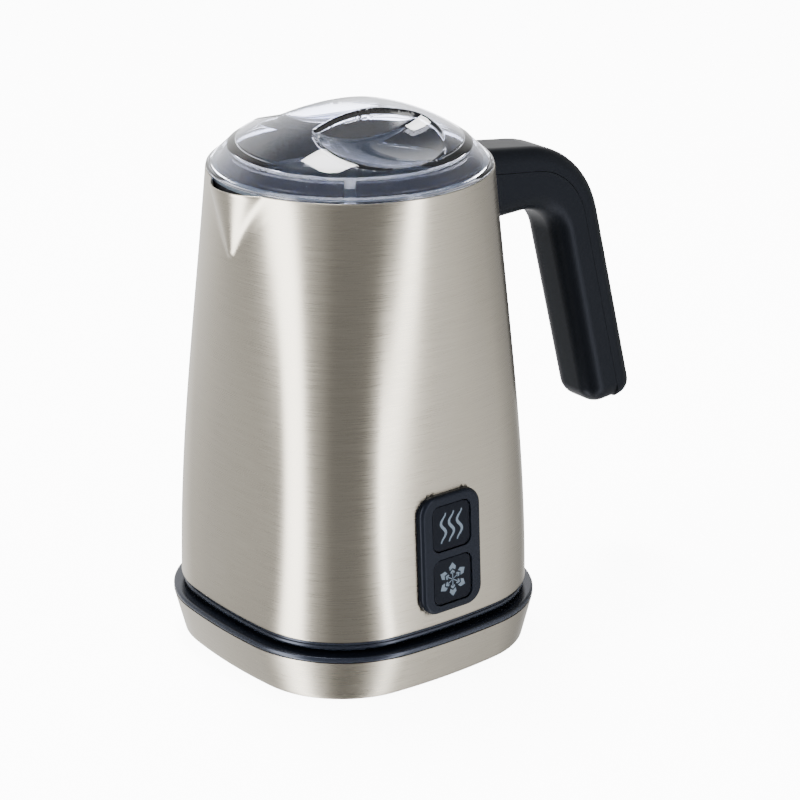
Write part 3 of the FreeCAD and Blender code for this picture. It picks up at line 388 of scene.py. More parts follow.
class FrotherSizes(bpy.types.PropertyGroup):
    """The lengths that shape the frother."""
    shell_low_half: FloatProperty(
        name="Shell foot half width", description="Half the shell's width at its foot",
        default=0.05560, unit="LENGTH")
    shell_low_corner: FloatProperty(
        name="Shell foot corner", description="Corner radius at the shell's foot",
        default=0.0367, unit="LENGTH")
    shell_mid_half: FloatProperty(
        name="Shell middle half width", description="Half the width half way up",
        default=0.05206, unit="LENGTH")
    shell_mid_corner: FloatProperty(
        name="Shell middle corner", description="Corner radius half way up",
        default=0.0324, unit="LENGTH")
    shell_mouth: FloatProperty(
        name="Shell mouth radius", description="Radius of the jug's round mouth",
        default=0.0494, unit="LENGTH")
    sheet: FloatProperty(
        name="Sheet metal", description="Thickness of the steel sheet",
        default=0.0008, unit="LENGTH")
    band_low_half: FloatProperty(
        name="Base foot half width", description="Half the base's width at its foot",
        default=0.0546, unit="LENGTH")
    band_low_corner: FloatProperty(
        name="Base foot corner", description="Corner radius at the base's foot",
        default=0.0349, unit="LENGTH")
    band_top_half: FloatProperty(
        name="Base rim half width", description="Half the base's width at its rim",
        default=0.059, unit="LENGTH")
    band_top_corner: FloatProperty(
        name="Base rim corner", description="Corner radius at the base's rim",
        default=0.0418, unit="LENGTH")
    spout_mouth: FloatProperty(
        name="Spout mouth radius", description="Radius of the spout's cone at the mouth",
        default=0.0189, unit="LENGTH")
    spout_depth: FloatProperty(
        name="Spout depth", description="How far down the spout's point reaches",
        default=0.0238, unit="LENGTH")
    dome_radius: FloatProperty(
        name="Lid dome radius", description="Radius of the lid's dome at its foot",
        default=0.0417, unit="LENGTH")
    dome_sphere: FloatProperty(
        name="Lid dome curve", description="Radius of the ball that the dome is part of",
        default=0.0716, unit="LENGTH")
    lid_wall: FloatProperty(
        name="Lid wall", description="Thickness of the lid's plastic",
        default=0.0022, unit="LENGTH")
    scoop_radius: FloatProperty(
        name="Scoop radius", description="Radius of a finger scoop's edge on the dome",
        default=0.0225, unit="LENGTH")
    scoop_sag: FloatProperty(
        name="Scoop hollow", description="How far a scoop's floor sinks below its edge",
        default=0.0050, unit="LENGTH")
    grip_half: FloatProperty(
        name="Grip half width", description="Half the thickness of the lid's grip",
        default=0.0085, unit="LENGTH")
    handle_half: FloatProperty(
        name="Handle half width", description="Half the handle's width",
        default=0.011, unit="LENGTH")
    button_half: FloatProperty(
        name="Button half width", description="Half a button's width",
        default=0.0082, unit="LENGTH")


class FrotherColours(bpy.types.PropertyGroup):
    """The colours that a user would change."""
    steel: FloatVectorProperty(
        name="Steel", description="Brushed steel, where its scratches are brightest",
        subtype="COLOR", size=4, default=srgb("#D6CFBF"))
    ink: FloatVectorProperty(
        name="Ink", description="Print on the buttons",
        subtype="COLOR", size=4, default=srgb("#2C3A47"))


def sizes():
    """The settings' lengths in millimetres."""
    settings = bpy.context.scene.frother_sizes
    names = settings.bl_rna.properties.keys()
    return SimpleNamespace(**{name: getattr(settings, name) / MM for name in names
                              if isinstance(getattr(settings, name), float)})


LEVELS = {}


def levels(node):
    """A CAD node's lowest and highest level in millimetres, measured once."""
    if node not in LEVELS:
        low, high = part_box(node)
        LEVELS[node] = (low.z / MM, high.z / MM)
    return LEVELS[node]


def through(low, middle, high, share):
    """A smooth value that is low at 0, middle at a half and high at 1."""
    slope = 4 * middle - 3 * low - high
    curve = 2 * low + 2 * high - 4 * middle
    return low + share * slope + share ** 2 * curve


MATERIALS = {}


def make_materials():
    """Build every material once."""
    colours = bpy.context.scene.frother_colours
    MATERIALS.update(
        steel=brushed_steel("brushed_stainless_steel", tuple(colours.steel), srgb("#A49D90")),
        black=moulded_plastic("black_etched_abs", srgb("#030406"), 0.36, shine=0.11),
        gloss=moulded_plastic("black_satin_abs", srgb("#07090E"), 0.30, 0.2, 0.003, 0.12),
        ring=moulded_plastic("black_ring_abs", srgb("#0C0F15"), 0.24, 0.2, 0.003, 0.5),
        key=moulded_plastic("black_key_abs", srgb("#030407"), 0.3, 0.2, 0.003, 0.1),
        grey=moulded_plastic("dark_grey_moulded_nylon", srgb("#2A2B2E"), 0.55),
        ivory=moulded_plastic("ivory_acetal", srgb("#D8D4C8"), 0.4),
        board=moulded_plastic("green_solder_mask", srgb("#1E5B34"), 0.35),
        clear=clear_plastic("clear_moulded_san", srgb("#DCE2FA")),
        bowl=coated_aluminium("non_stick_coated_bowl", srgb("#77828F")),
        seal=soft_rubber("navy_silicone_seal", srgb("#0B1020"), 0.15),
        rubber=soft_rubber("black_rubber", srgb("#121314"), 0.6),
        steel_plain=plain_metal("turned_steel", srgb("#C4C4C6"), 0.28),
        brass=plain_metal("plated_brass", srgb("#D9B46A"), 0.25),
        aluminium=plain_metal("rolled_aluminium", srgb("#D2D4D6"), 0.35),
        magnet=plain_metal("nickel_plated_magnet", srgb("#9A9A9C"), 0.2),
        ink=printed_ink("screen_printed_ink", tuple(colours.ink)),
    )


# ---------------------------------------------------------------- base and jug

# The sides bow outwards a little: these are the radii of that bow, in millimetres.
BAND_BOW_LOW = 206.0
BAND_BOW_GAIN = 16.6
TOP_BOW = 213.0
FOOT_BOW = 210.0
# Half the shell's width over its bow's radius: this at the foot, growing to 1 at the round mouth.
SHELL_BOWING = 0.265
# The spout is a leaning cone. Its axis stands this far out at its tip and at the mouth.
SPOUT_TIP_OUT = 49.5
SPOUT_MOUTH_OUT = 35.3
SPOUT_TIP_RADIUS = 0.9
SPOUT_BLEND = 1.1


def outline_station(half, corner, bow, height):
    """A station of a bowed-square outline at one height."""
    return lambda angle: (bowed_square_reach(angle, half, corner, bow), height)


def band_station(s, share, height, inset=0.0):
    """A station on the base's sloping side: 0 at its foot and 1 at its rim."""
    half = s.band_low_half + (s.band_top_half - s.band_low_half) * share
    corner = s.band_low_corner + (s.band_top_corner - s.band_low_corner) * share
    bow = BAND_BOW_LOW + BAND_BOW_GAIN * share
    return outline_station(half - inset, corner - inset, bow - inset, height)


def shell_reach(s, share, angle, inset=0.0):
    """The jug's outline, without its spout, at a share of its height."""
    half = through(s.shell_low_half, s.shell_mid_half, s.shell_mouth, share) - inset
    corner = through(s.shell_low_corner, s.shell_mid_corner, s.shell_mouth, share) - inset
    bow = half / (SHELL_BOWING + (1 - SHELL_BOWING) * min(share, 1.0) ** 2)
    return bowed_square_reach(angle, half, min(corner, half), bow)


def spout_reach(s, drop, angle, inset=0.0):
    """The spout's cone at a drop below the jug's mouth, or 0 where it isn't."""
    share = 1 - drop / s.spout_depth
    if share <= 0:
        return 0.0
    centre = -(SPOUT_TIP_OUT + (SPOUT_MOUTH_OUT - SPOUT_TIP_OUT) * share)
    radius = SPOUT_TIP_RADIUS + (s.spout_mouth - SPOUT_TIP_RADIUS) * share - inset
    across = centre * math.sin(angle)
    if math.cos(angle) > 0 or radius <= abs(across):
        return 0.0
    return centre * math.cos(angle) + math.sqrt(radius ** 2 - across ** 2)


def soft_max(first, second, blend):
    """The larger of two values, with a smooth change between them over the blend."""
    gap = first - second
    return (first + second + math.sqrt(gap * gap + blend * blend)) / 2


def jug_reach(s, height, angle, inset=0.0):
    """The steel shell's outline with its spout, at a height."""
    low, high = levels("outer_shell")
    body = shell_reach(s, (height - low) / (high - low), angle, inset)
    spout = spout_reach(s, high - height, angle, inset)
    if spout <= 0:
        return body
    return soft_max(body, spout, SPOUT_BLEND)


class FROTHER_OT_shell(bpy.types.Operator):
    """Form the jug's brushed steel shell with its pressed spout."""
    bl_idname = "frother.shell"
    bl_label = "Steel shell"

    def execute(self, context):
        s = sizes()
        low, high = levels("outer_shell")
        edge_high = 0.3
        body_from = low + 0.8
        body_steps, spout_steps = 44, 26
        fine_from = high - s.spout_depth - 2
        fine_to = high - edge_high
        heights = [low + 0.25, body_from]
        heights += [body_from + (fine_from - low - 0.8) * i / body_steps
                    for i in range(1, body_steps + 1)]
        heights += [fine_from + (fine_to - fine_from) * i / spout_steps
                    for i in range(1, spout_steps + 1)]
        edge = 0.2
        stations = [lambda a: (jug_reach(s, low + 0.001, a, edge), low)]
        stations += [lambda a, h=h: (jug_reach(s, h, a), h) for h in heights]
        stations += [lambda a: (jug_reach(s, high, a, edge), high)]
        stations += [lambda a: (jug_reach(s, high, a, s.sheet - edge), high)]
        stations += [lambda a, h=h: (jug_reach(s, h, a, s.sheet), h) for h in heights[::-1]]
        stations += [lambda a: (jug_reach(s, low + 0.001, a, s.sheet - edge), low)]
        bm = bmesh.new()
        loft_rings(bm, stations, close=True)
        piece = finish_piece(bm, "steel_shell", MATERIALS["steel"], "jug",
                             ["outer_shell"], sharp=60)
        window = bmesh.new()
        corners = rounded_box_corners(PANEL_HALF_WIDE + WINDOW_GAP, PANEL_HALF_TALL + WINDOW_GAP,
                                      PANEL_CORNER, (0, PANEL_HIGH))
        extrude_outline(window, rounded_outline(corners), -60, -45)
        cutter = finish_piece(window, "panel_window", MATERIALS["steel"], None)
        carve(piece, [cutter], sharp=60)
        return {"FINISHED"}


class FROTHER_OT_base(bpy.types.Operator):
    """Form the base's steel band, its black top and rim, and the jug's black foot ring."""
    bl_idname = "frother.base"
    bl_label = "Power base"

    def execute(self, context):
        s = sizes()
        low, high = levels("base_band")
        edge = 0.5
        wall = s.sheet
        stations = [
            band_station(s, 0.0, low, wall),
            band_station(s, 0.0, low, edge),
            band_station(s, 0.0, low + 0.15, edge * 0.3),
            band_station(s, 0.03, low + 0.5),
        ]
        stations += [band_station(s, i / 8, low + (high - low) * i / 8) for i in range(1, 8)]
        stations += [band_station(s, 1.0, high), band_station(s, 1.0, high, wall)]
        bm = bmesh.new()
        loft_rings(bm, stations, close=True)
        piece = finish_piece(bm, "base_steel_band", MATERIALS["steel"], "base",
                             ["base_band"], sharp=50)
        gland_radius, gland_deep, gland_back = 5.1, 16, 56
        gland_low, gland_high = levels("cord_gland")
        hole = bmesh.new()
        place = (Matrix.Translation((0, gland_back, (gland_low + gland_high) / 2))
                 @ Matrix.Rotation(math.pi / 2, 4, "X"))
        bmesh.ops.create_cone(hole, cap_ends=True, segments=48, radius1=gland_radius,
                              radius2=gland_radius, depth=gland_deep, matrix=place)
        carve(piece, [finish_piece(hole, "gland_hole", MATERIALS["steel"], None)])

        self.make_top(s)
        self.make_foot_trim(s)
        return {"FINISHED"}

    def make_top(self, s):
        """The black plate whose rounded rim shows between the band and the jug."""
        low = levels("base_band")[1]
        high = levels("base_top")[1]
        step, dish_radius, post_radius = 0.35, 26.0, 15.2
        bulge = [(0.9, 0.0), (0.25, 0.15), (0.0, 0.55), (0.0, 1.25), (0.2, 1.75), (0.6, 1.97),
                 (1.3, 2.0)]
        stations = [outline_station(50.0, 38.0, TOP_BOW, low)]
        stations += [band_station(s, 1.0, low + up, inset) for inset, up in bulge]
        stations += [
            band_station(s, 1.0, high, 4.0),
            band_station(s, 1.0, high - step, 4.6),
            lambda a: (dish_radius, high - step),
            lambda a: (dish_radius - 0.4, high),
            lambda a: (post_radius, high),
            lambda a: (post_radius, low),
        ]
        bm = bmesh.new()
        loft_rings(bm, stations, close=True)
        finish_piece(bm, "base_top_plate", MATERIALS["ring"], "base",
                     ["base_top"], sharp=40)

    def make_foot_trim(self, s):
        """The jug's black foot ring: a rolled lower lip and a groove under the steel edge."""
        low, high = levels("foot_trim")
        rim = levels("outer_shell")[0]
        shelf_radius, inner_radius = 47.0, 45.0
        bulge = [(3.0, 0.0), (1.5, 0.0), (1.0, 0.12), (0.72, 0.45), (0.66, 0.95), (0.72, 1.45),
                 (0.95, 1.72), (1.25, 1.85), (1.25, rim - low - 0.5), (1.1, rim - low - 0.15),
                 (1.4, rim - low - 0.02), (1.45, high - low)]

        def station(inset, up):
            return outline_station(s.shell_low_half - inset, s.shell_low_corner - inset,
                                   FOOT_BOW - inset, low + up)

        stations = [lambda a: (inner_radius, low)]
        stations += [station(inset, up) for inset, up in bulge]
        stations += [
            lambda a: (shelf_radius, high),
            lambda a: (shelf_radius, rim),
            lambda a: (inner_radius, rim),
        ]
        bm = bmesh.new()
        loft_rings(bm, stations, close=True)
        finish_piece(bm, "jug_foot_ring", MATERIALS["ring"], "jug",
                     ["foot_trim"], sharp=40)


class FROTHER_OT_bowl(bpy.types.Operator):
    """Turn the coated bowl inside the jug, and wind the whisk's coil."""
    bl_idname = "frother.bowl"
    bl_label = "Bowl and whisk"

    def execute(self, context):
        low, high = levels("inner_bowl")
        wall, lip = 1.5, 1.2
        foot_radius, mouth_radius, rim_radius = 40.5, 43.5, 48.3
        outline = rounded_outline([
            (0.0, low), (foot_radius, low, 9.5), (mouth_radius, high - lip),
            (rim_radius, high - lip), (rim_radius, high),
            (mouth_radius - 0.9, high, 0.5), (mouth_radius - wall, high - lip),
            (foot_radius - wall, low + wall, 8.0), (0.0, low + wall),
        ])
        bm = bmesh.new()
        spin_outline(bm, outline)
        finish_piece(bm, "coated_bowl", MATERIALS["bowl"], "jug", ["inner_bowl"])
        self.wind_coil()
        return {"FINISHED"}

    def wind_coil(self):
        """The whisk's fine steel coil, closed on itself round the hub."""
        low, high = levels("whisk_coil")
        centre_high = (low + high) / 2
        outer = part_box("whisk_coil")[1].x / MM
        wire = 0.28
        coil = (high - low) / 2 - wire
        ring = outer - coil - wire
        turns, steps_each = 64, 10
        curve = bpy.data.curves.new("whisk_wire", "CURVE")
        curve.dimensions = "3D"
        curve.bevel_depth = wire * MM
        curve.bevel_resolution = 1
        spline = curve.splines.new("POLY")
        count = turns * steps_each
        spline.points.add(count - 1)
        for i in range(count):
            round_angle = math.tau * i / count
            wind = math.tau * turns * i / count
            reach = ring + coil * math.cos(wind)
            spot = (reach * math.cos(round_angle), reach * math.sin(round_angle),
                    centre_high + coil * math.sin(wind))
            spline.points[i].co = (*(value * MM for value in spot), 1)
        spline.use_cyclic_u = True
        wire_object = bpy.data.objects.new("whisk_wire", curve)
        bpy.context.scene.collection.objects.link(wire_object)
        mesh = bpy.data.meshes.new_from_object(wire_object)
        bpy.data.objects.remove(wire_object)
        mesh.shade_smooth()
        piece = bpy.data.objects.new("whisk_coil_spring", mesh)
        bpy.context.scene.collection.objects.link(piece)
        mesh.materials.clear()
        mesh.materials.append(MATERIALS["steel_plain"])
        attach(piece, "whisk")
        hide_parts("whisk_coil")


# ---------------------------------------------------------------- lid

def dome_height(s, x, y):
    """The lid's plain dome."""
    centre = levels("lid_cover")[1] - s.dome_sphere
    return centre + math.sqrt(s.dome_sphere ** 2 - x * x - y * y)


def scoop_drop(s, x, y):
    """How far one finger scoop, on the panel's side of the grip, sinks below the dome.

    The scoop is the cut of a large ball; the grip's own wall stands at its inner edge.
    """
    centre_x, centre_y = -2.6, -20.0
    crest_x, crest_bend, far_share = -6.0, 0.0085, 0.35
    wall_slope, blend = 1.9, 0.2
    out = math.hypot(centre_x, centre_y)
    up = math.sqrt(s.dome_sphere ** 2 - out * out)
    axis = Vector((centre_x, centre_y, up)) / s.dome_sphere
    ball = (s.scoop_radius ** 2 + s.scoop_sag ** 2) / (2 * s.scoop_sag)
    edge_plane = math.sqrt(s.dome_sphere ** 2 - s.scoop_radius ** 2)
    ball_centre = axis * (edge_plane + ball - s.scoop_sag)
    flat = (x - ball_centre.x) ** 2 + (y - ball_centre.y) ** 2
    if flat >= ball ** 2:
        return 0.0
    dome = math.sqrt(s.dome_sphere ** 2 - x * x - y * y)
    floor = ball_centre.z - math.sqrt(ball ** 2 - flat)
    bend = crest_bend * (1.0 if x > crest_x else far_share)
    wall = (-s.grip_half - bend * (x - crest_x) ** 2 - y) * wall_slope
    basin = dome - floor
    drop = basin + wall - math.sqrt((basin - wall) ** 2 + blend)
    return max(0.0, drop / 2)


def lid_height(s, x, y):
    """The lid's outer surface over a point of its dome."""
    return dome_height(s, x, y) - scoop_drop(s, x, y) - scoop_drop(s, -x, -y)


class FROTHER_OT_lid(bpy.types.Operator):
    """Mould the clear lid: skirt, beveled rim and a dome with two scoops round its grip."""
    bl_idname = "frother.lid"
    bl_label = "Clear lid"

    def execute(self, context):
        s = sizes()
        foot = levels("lid_cover")[0]
        rim_low = levels("outer_shell")[1] + 0.1
        dome_foot = dome_height(s, s.dome_radius, 0)

        def dome_station(radius, drop):
            def station(angle):
                x, y = radius * math.cos(angle), radius * math.sin(angle)
                return radius, lid_height(s, x, y) - drop
            return station

        bm = bmesh.new()
        bevel_out, bevel_in = 48.85, 41.9
        bevel_low = rim_low + 1.15
        bevel_rise = dome_foot - 0.3 - bevel_low
        bevel_sag = 0.2
        outer = [(47.3, rim_low), (48.9, rim_low), (49.15, rim_low + 0.25), (49.15, rim_low + 0.7),
                 (bevel_out, bevel_low)]
        outer += [(bevel_out + (bevel_in - bevel_out) * share,
                   bevel_low + bevel_rise * share - bevel_sag * math.sin(math.pi * share))
                  for share in (i / 8 for i in range(1, 9))]
        stations = [lambda a, p=p: p for p in outer]
        stations += [lambda a: (s.dome_radius - 0.02, dome_foot)]
        stations += [dome_station(s.dome_radius * i / 84, 0) for i in range(83, 0, -1)]
        close_pole(bm, loft_rings(bm, stations, steps=LID_STEPS))

        skirt = [(47.3, rim_low), (46.9, rim_low + 1.2), (41.0, rim_low + 6.2),
                 (40.2, rim_low + 6.0), (40.2, foot + 0.4), (39.9, foot), (38.8, foot),
                 (38.4, foot + 0.4), (38.4, dome_foot - 0.9)]
        stations = [lambda a, p=p: p for p in skirt]
        stations += [dome_station(37.9 * i / 76, s.lid_wall) for i in range(76, 0, -1)]
        close_pole(bm, loft_rings(bm, stations, steps=LID_STEPS))
        finish_piece(bm, "clear_lid", MATERIALS["clear"], "lid",
                     ["lid_cover"], sharp=28)
        self.make_seal(rim_low)
        return {"FINISHED"}

    def make_seal(self, rim_low):
        """The silicone seal: a wide collar under the rim, a thin lip that wipes the bowl, and one
        slot in the collar."""
        foot = levels("lid_seal")[0]
        inner, body, lip, collar = 40.3, 41.2, 41.75, 45.1
        outline = rounded_outline([
            (inner, foot), (body + 0.1, foot, 0.3), (body, rim_low - 4.0),
            (lip, rim_low - 3.2, 0.2), (body, rim_low - 2.4), (body, rim_low - 1.0),
            (body + 0.5, rim_low - 0.2), (collar - 0.1, rim_low + 0.05, 0.3),
            (collar, rim_low + 1.6, 0.5), (body + 0.8, rim_low + 4.4, 0.4),
            (inner, rim_low + 4.6),
        ])
        bm = bmesh.new()
        spin_outline(bm, outline, close=True)
        seal = finish_piece(bm, "lid_seal_ring", MATERIALS["seal"], "lid",
                            ["lid_seal"])
        slot_facing, slot_deep, slot_wide, slot_high = -127.1, 8.0, 3.8, 7.6
        slot = bmesh.new()
        place = (Matrix.Rotation(math.radians(slot_facing), 4, "Z")
                 @ Matrix.Translation((43.0, 0, rim_low + 1.6))
                 @ Matrix.Diagonal((slot_deep, slot_wide, slot_high, 1.0)))
        bmesh.ops.create_cube(slot, size=1.0, matrix=place)
        carve(seal, [finish_piece(slot, "seal_notch", MATERIALS["seal"], None)])


def close_pole(bm, edges):
    """Close the last small ring over the axis."""
    verts = list(dict.fromkeys(vert for edge in edges for vert in edge.verts))
    middle = sum((vert.co for vert in verts), Vector()) / len(verts)
    bmesh.ops.pointmerge(bm, verts=verts, merge_co=middle)


# ---------------------------------------------------------------- handle

# Side views of the handle, in millimetres: corners (x, z) or (x, z, radius).
SEAM = [(47.5, 164.0), (94.0, 158.6, 26.6), (118.7, 64.0)]
BACK = [(126.4, 66.2, 6.0), (100.4, 166.1, 37.5), (47.5, 172.8)]
UNDER = [(105.7, 62.8, 8.5), (84.1, 146.0, 14.8), (47.5, 144.6)]
# The root's flat end stands at 47.5; edges nearer to the jug than this stay sharp.
ROOT_END = 47.6
# Half the fine gap between the handle's two halves.
SEAM_GAP = 0.09
GRIP_ROUND = 7.2
STRIP_ROUND = 5.0


class FROTHER_OT_handle(bpy.types.Operator):
    """Mould the handle: the inner grip and the strip along its back, with the seam between."""
    bl_idname = "frother.handle"
    bl_label = "Handle"

    def execute(self, context):
        s = sizes()
        grip = [(x, z - SEAM_GAP, *rest) for x, z, *rest in SEAM] + UNDER
        strip = [(x + SEAM_GAP, z + SEAM_GAP, *rest) for x, z, *rest in SEAM] + BACK
        self.make_half(s, "handle_grip", grip, "handle_inner", -1, GRIP_ROUND)
        self.make_half(s, "handle_back_strip", strip, "handle_cover", 1, STRIP_ROUND)
        return {"FINISHED"}

    def make_half(self, s, name, corners, node, facing, radius):
        """One half of the handle, with its long free edges well rounded and its seam sharp."""
        bm = bmesh.new()
        extrude_outline(bm, rounded_outline(corners), -s.handle_half, s.handle_half)
        backward = Vector((1, 0, 0.2))
        free = []
        for edge in bm.edges:
            if abs(edge.verts[0].co.y - edge.verts[1].co.y) > 1e-6:
                continue
            looks = [face.normal for face in edge.link_faces if abs(face.normal.y) < 0.5]
            if max(vert.co.x for vert in edge.verts) < ROOT_END or not looks:
                continue
            if looks[0].dot(backward) * facing > 0:
                free.append(edge)
        round_edges(bm, free, radius, 9)
        finish_piece(bm, name, MATERIALS["black"], "jug", [node], sharp=40)


# ---------------------------------------------------------------- panel

# Depths in the panel's own frame run along Y, from 0 at about the shell's surface; those below 0
# stand out from it.
PANEL_HIGH = 49.5
PANEL_OUT = 54.3
PANEL_LEAN = -2.81
PANEL_PLACE = (Matrix.Translation((0, -PANEL_OUT, PANEL_HIGH))
               @ Matrix.Rotation(math.radians(PANEL_LEAN), 4, "X"))
PANEL_HALF_WIDE = 13.0
PANEL_HALF_TALL = 21.5
PANEL_CORNER = 6.6
WINDOW_GAP = 0.03
BEZEL_FRONT, BEZEL_BACK = -2.4, 7.7
BEZEL_WALL = 1.8
KEY_FRONT, KEY_BACK = -2.1, 0.4
KEY_GAP = 0.3
KEY_CORNER = 3.0
FLANGE_WIDER, FLANGE_BACK = 1.1, 1.5
HEAT_HIGH = 9.5
COLD_HIGH = -10.1
INK_HIGH = 0.03


class FROTHER_OT_panel(bpy.types.Operator):
    """Mould the panel's bezel and buttons, and print their two signs."""
    bl_idname = "frother.panel"
    bl_label = "Control panel"

    def execute(self, context):
        s = sizes()
        bm = bmesh.new()
        corners = rounded_box_corners(PANEL_HALF_WIDE, PANEL_HALF_TALL, PANEL_CORNER)
        extrude_outline(bm, rounded_outline(corners), BEZEL_FRONT, BEZEL_BACK)
        round_edges(bm, self.edges_at(bm, BEZEL_FRONT), 1.5, 6)
        bezel = finish_piece(bm, "panel_frame", MATERIALS["gloss"], "jug",
                             ["panel_bezel"], sharp=40, matrix=PANEL_PLACE)
        cutters = [self.cutter(PANEL_HALF_WIDE - BEZEL_WALL, PANEL_HALF_TALL - BEZEL_WALL,
                               PANEL_CORNER - BEZEL_WALL, 0.0, 0.0, 9.0)]
        opening = s.button_half + KEY_GAP
        for place in (HEAT_HIGH, COLD_HIGH):
            cutters.append(self.cutter(opening, opening, KEY_CORNER + KEY_GAP, place, -4.0, 1.0))
        carve(bezel, cutters)
        self.make_button(s, "heat_key", HEAT_HIGH, "heat_button")
        self.make_button(s, "cold_key", COLD_HIGH, "cold_button")
        self.print_steam()
        self.print_snow()
        return {"FINISHED"}

    def edges_at(self, bm, depth):
        """The edges of a shape that lie at one depth."""
        return [edge for edge in bm.edges
                if all(abs(vert.co.y - depth) < 1e-6 for vert in edge.verts)]

    def cutter(self, half_wide, half_tall, radius, place, near, far):
        """A rounded block, in the panel's frame, to cut with."""
        bm = bmesh.new()
        corners = rounded_box_corners(half_wide, half_tall, radius, (0, place))
        extrude_outline(bm, rounded_outline(corners), near, far)
        return finish_piece(bm, "panel_cutter", MATERIALS["gloss"], None,
                            matrix=PANEL_PLACE)

    def make_button(self, s, name, place, node):
        """A square key with a flat face and eased edges, on its wider flange."""
        bm = bmesh.new()
        corners = rounded_box_corners(s.button_half, s.button_half, KEY_CORNER, (0, place))
        extrude_outline(bm, rounded_outline(corners), KEY_FRONT, KEY_BACK)
        round_edges(bm, self.edges_at(bm, KEY_FRONT), 0.45, 3)
        flange = s.button_half + FLANGE_WIDER
        corners = rounded_box_corners(flange, flange, KEY_CORNER, (0, place))
        extrude_outline(bm, rounded_outline(corners), KEY_BACK, FLANGE_BACK)
        finish_piece(bm, name, MATERIALS["key"], node, [node], sharp=30,
                     matrix=PANEL_PLACE)

    def ribbon(self, bm, points, half_wide):
        """A flat stroke along points just over a key's face, tapering to its ends."""
        count = len(points)
        depth = KEY_FRONT - 0.015
        rows = []
        for i, point in enumerate(points):
            ahead = Vector(points[min(i + 1, count - 1)]) - Vector(points[max(i - 1, 0)])
            side = Vector((-ahead.y, ahead.x)).normalized()
            share = min(max(i / (count - 1), 0.08), 0.92)
            reach = side * half_wide * (0.35 + 0.65 * math.sin(math.pi * share))
            rows.append([bm.verts.new((point[0] + reach.x * k, depth, point[1] + reach.y * k))
                         for k in (-1, 1)])
        for near, far in zip(rows, rows[1:]):
            bm.faces.new((near[0], near[1], far[1], far[0]))

    def print_steam(self):
        """Three wavy lines of rising steam on the upper key."""
        bm = bmesh.new()
        steps = 24
        apart, swing, half_high, half_wide = 3.5, 1.05, 5.4, 0.56
        for column in (-1, 0, 1):
            points = []
            for share in (i / steps for i in range(steps + 1)):
                wave = -swing * math.cos(share * math.pi * 3)
                points.append((column * apart + wave, HEAT_HIGH + half_high * (2 * share - 1)))
            self.ribbon(bm, points, half_wide)
        self.print_on(bm, "steam_sign", "heat_button")

    def print_snow(self):
        """A snow crystal on the lower key: six arms, each an arrow head over a chevron."""
        bm = bmesh.new()
        shapes = [
            [(0.0, 6.2), (-1.5, 4.6), (-1.15, 3.3), (0.0, 4.1), (1.15, 3.3), (1.5, 4.6)],
            [(0.0, 3.55), (-0.95, 2.7), (-0.72, 2.0), (0.0, 2.65), (0.72, 2.0), (0.95, 2.7)],
            [(-0.2, 2.3), (-0.14, 0.25), (0.14, 0.25), (0.2, 2.3)],
        ]
        for arm in range(6):
            turn = Matrix.Rotation(math.tau * arm / 6, 2)
            for layer, shape in enumerate(shapes):
                depth = KEY_FRONT - 0.012 - 0.002 * layer
                spots = [turn @ Vector(corner) for corner in shape]
                bm.faces.new([bm.verts.new((spot.x, depth, spot.y + COLD_HIGH)) for spot in spots])
        self.print_on(bm, "snow_sign", "cold_button")

    def print_on(self, bm, name, body):
        """Give the print its thickness and set it on a key."""
        bmesh.ops.recalc_face_normals(bm, faces=bm.faces)
        for face in bm.faces:
            if face.normal.y > 0:
                face.normal_flip()
        grown = bmesh.ops.extrude_face_region(bm, geom=list(bm.faces))["geom"]
        moved = [item for item in grown if isinstance(item, bmesh.types.BMVert)]
        bmesh.ops.translate(bm, verts=moved, vec=(0, -INK_HIGH, 0))
        finish_piece(bm, name, MATERIALS["ink"], body, matrix=PANEL_PLACE)


# ---------------------------------------------------------------- the rest

class FROTHER_OT_inner_parts(bpy.types.Operator):
    """Give the parts that keep their engineering shape their own materials."""
    bl_idname = "frother.inner_parts"
    bl_label = "Inner parts"

    def execute(self, context):
        finishes = {
            "black": ["coupler_post", "coupler_socket", "whisk_hub"],
            "grey": ["base_pan", "cord_clamp", "lower_cover", "bowl_collar", "motor_bracket",
                     "magnet_carrier", "motor_endplate", "heat_switch", "cold_switch"],
            "ivory": ["whisk_bush"],
            "rubber": ["foot_ring", "cord_gland"],
            "steel_plain": ["base_screws", "clamp_screws", "cover_screws", "handle_screws",
                            "spindle", "heating_element", "motor_can", "motor_shaft",
                            "handle_bracket", "temperature_sensor"],
            "brass": ["live_contact", "neutral_contact", "earth_contact", "socket_pin",
                      "socket_ring", "socket_earth", "motor_bushes"],
            "aluminium": ["heater_plate"],
            "magnet": ["drive_magnets", "whisk_magnets", "stator_magnets", "armature"],
            "board": ["control_board"],
        }
        for finish, nodes in finishes.items():
            paint(nodes, MATERIALS[finish])
        return {"FINISHED"}


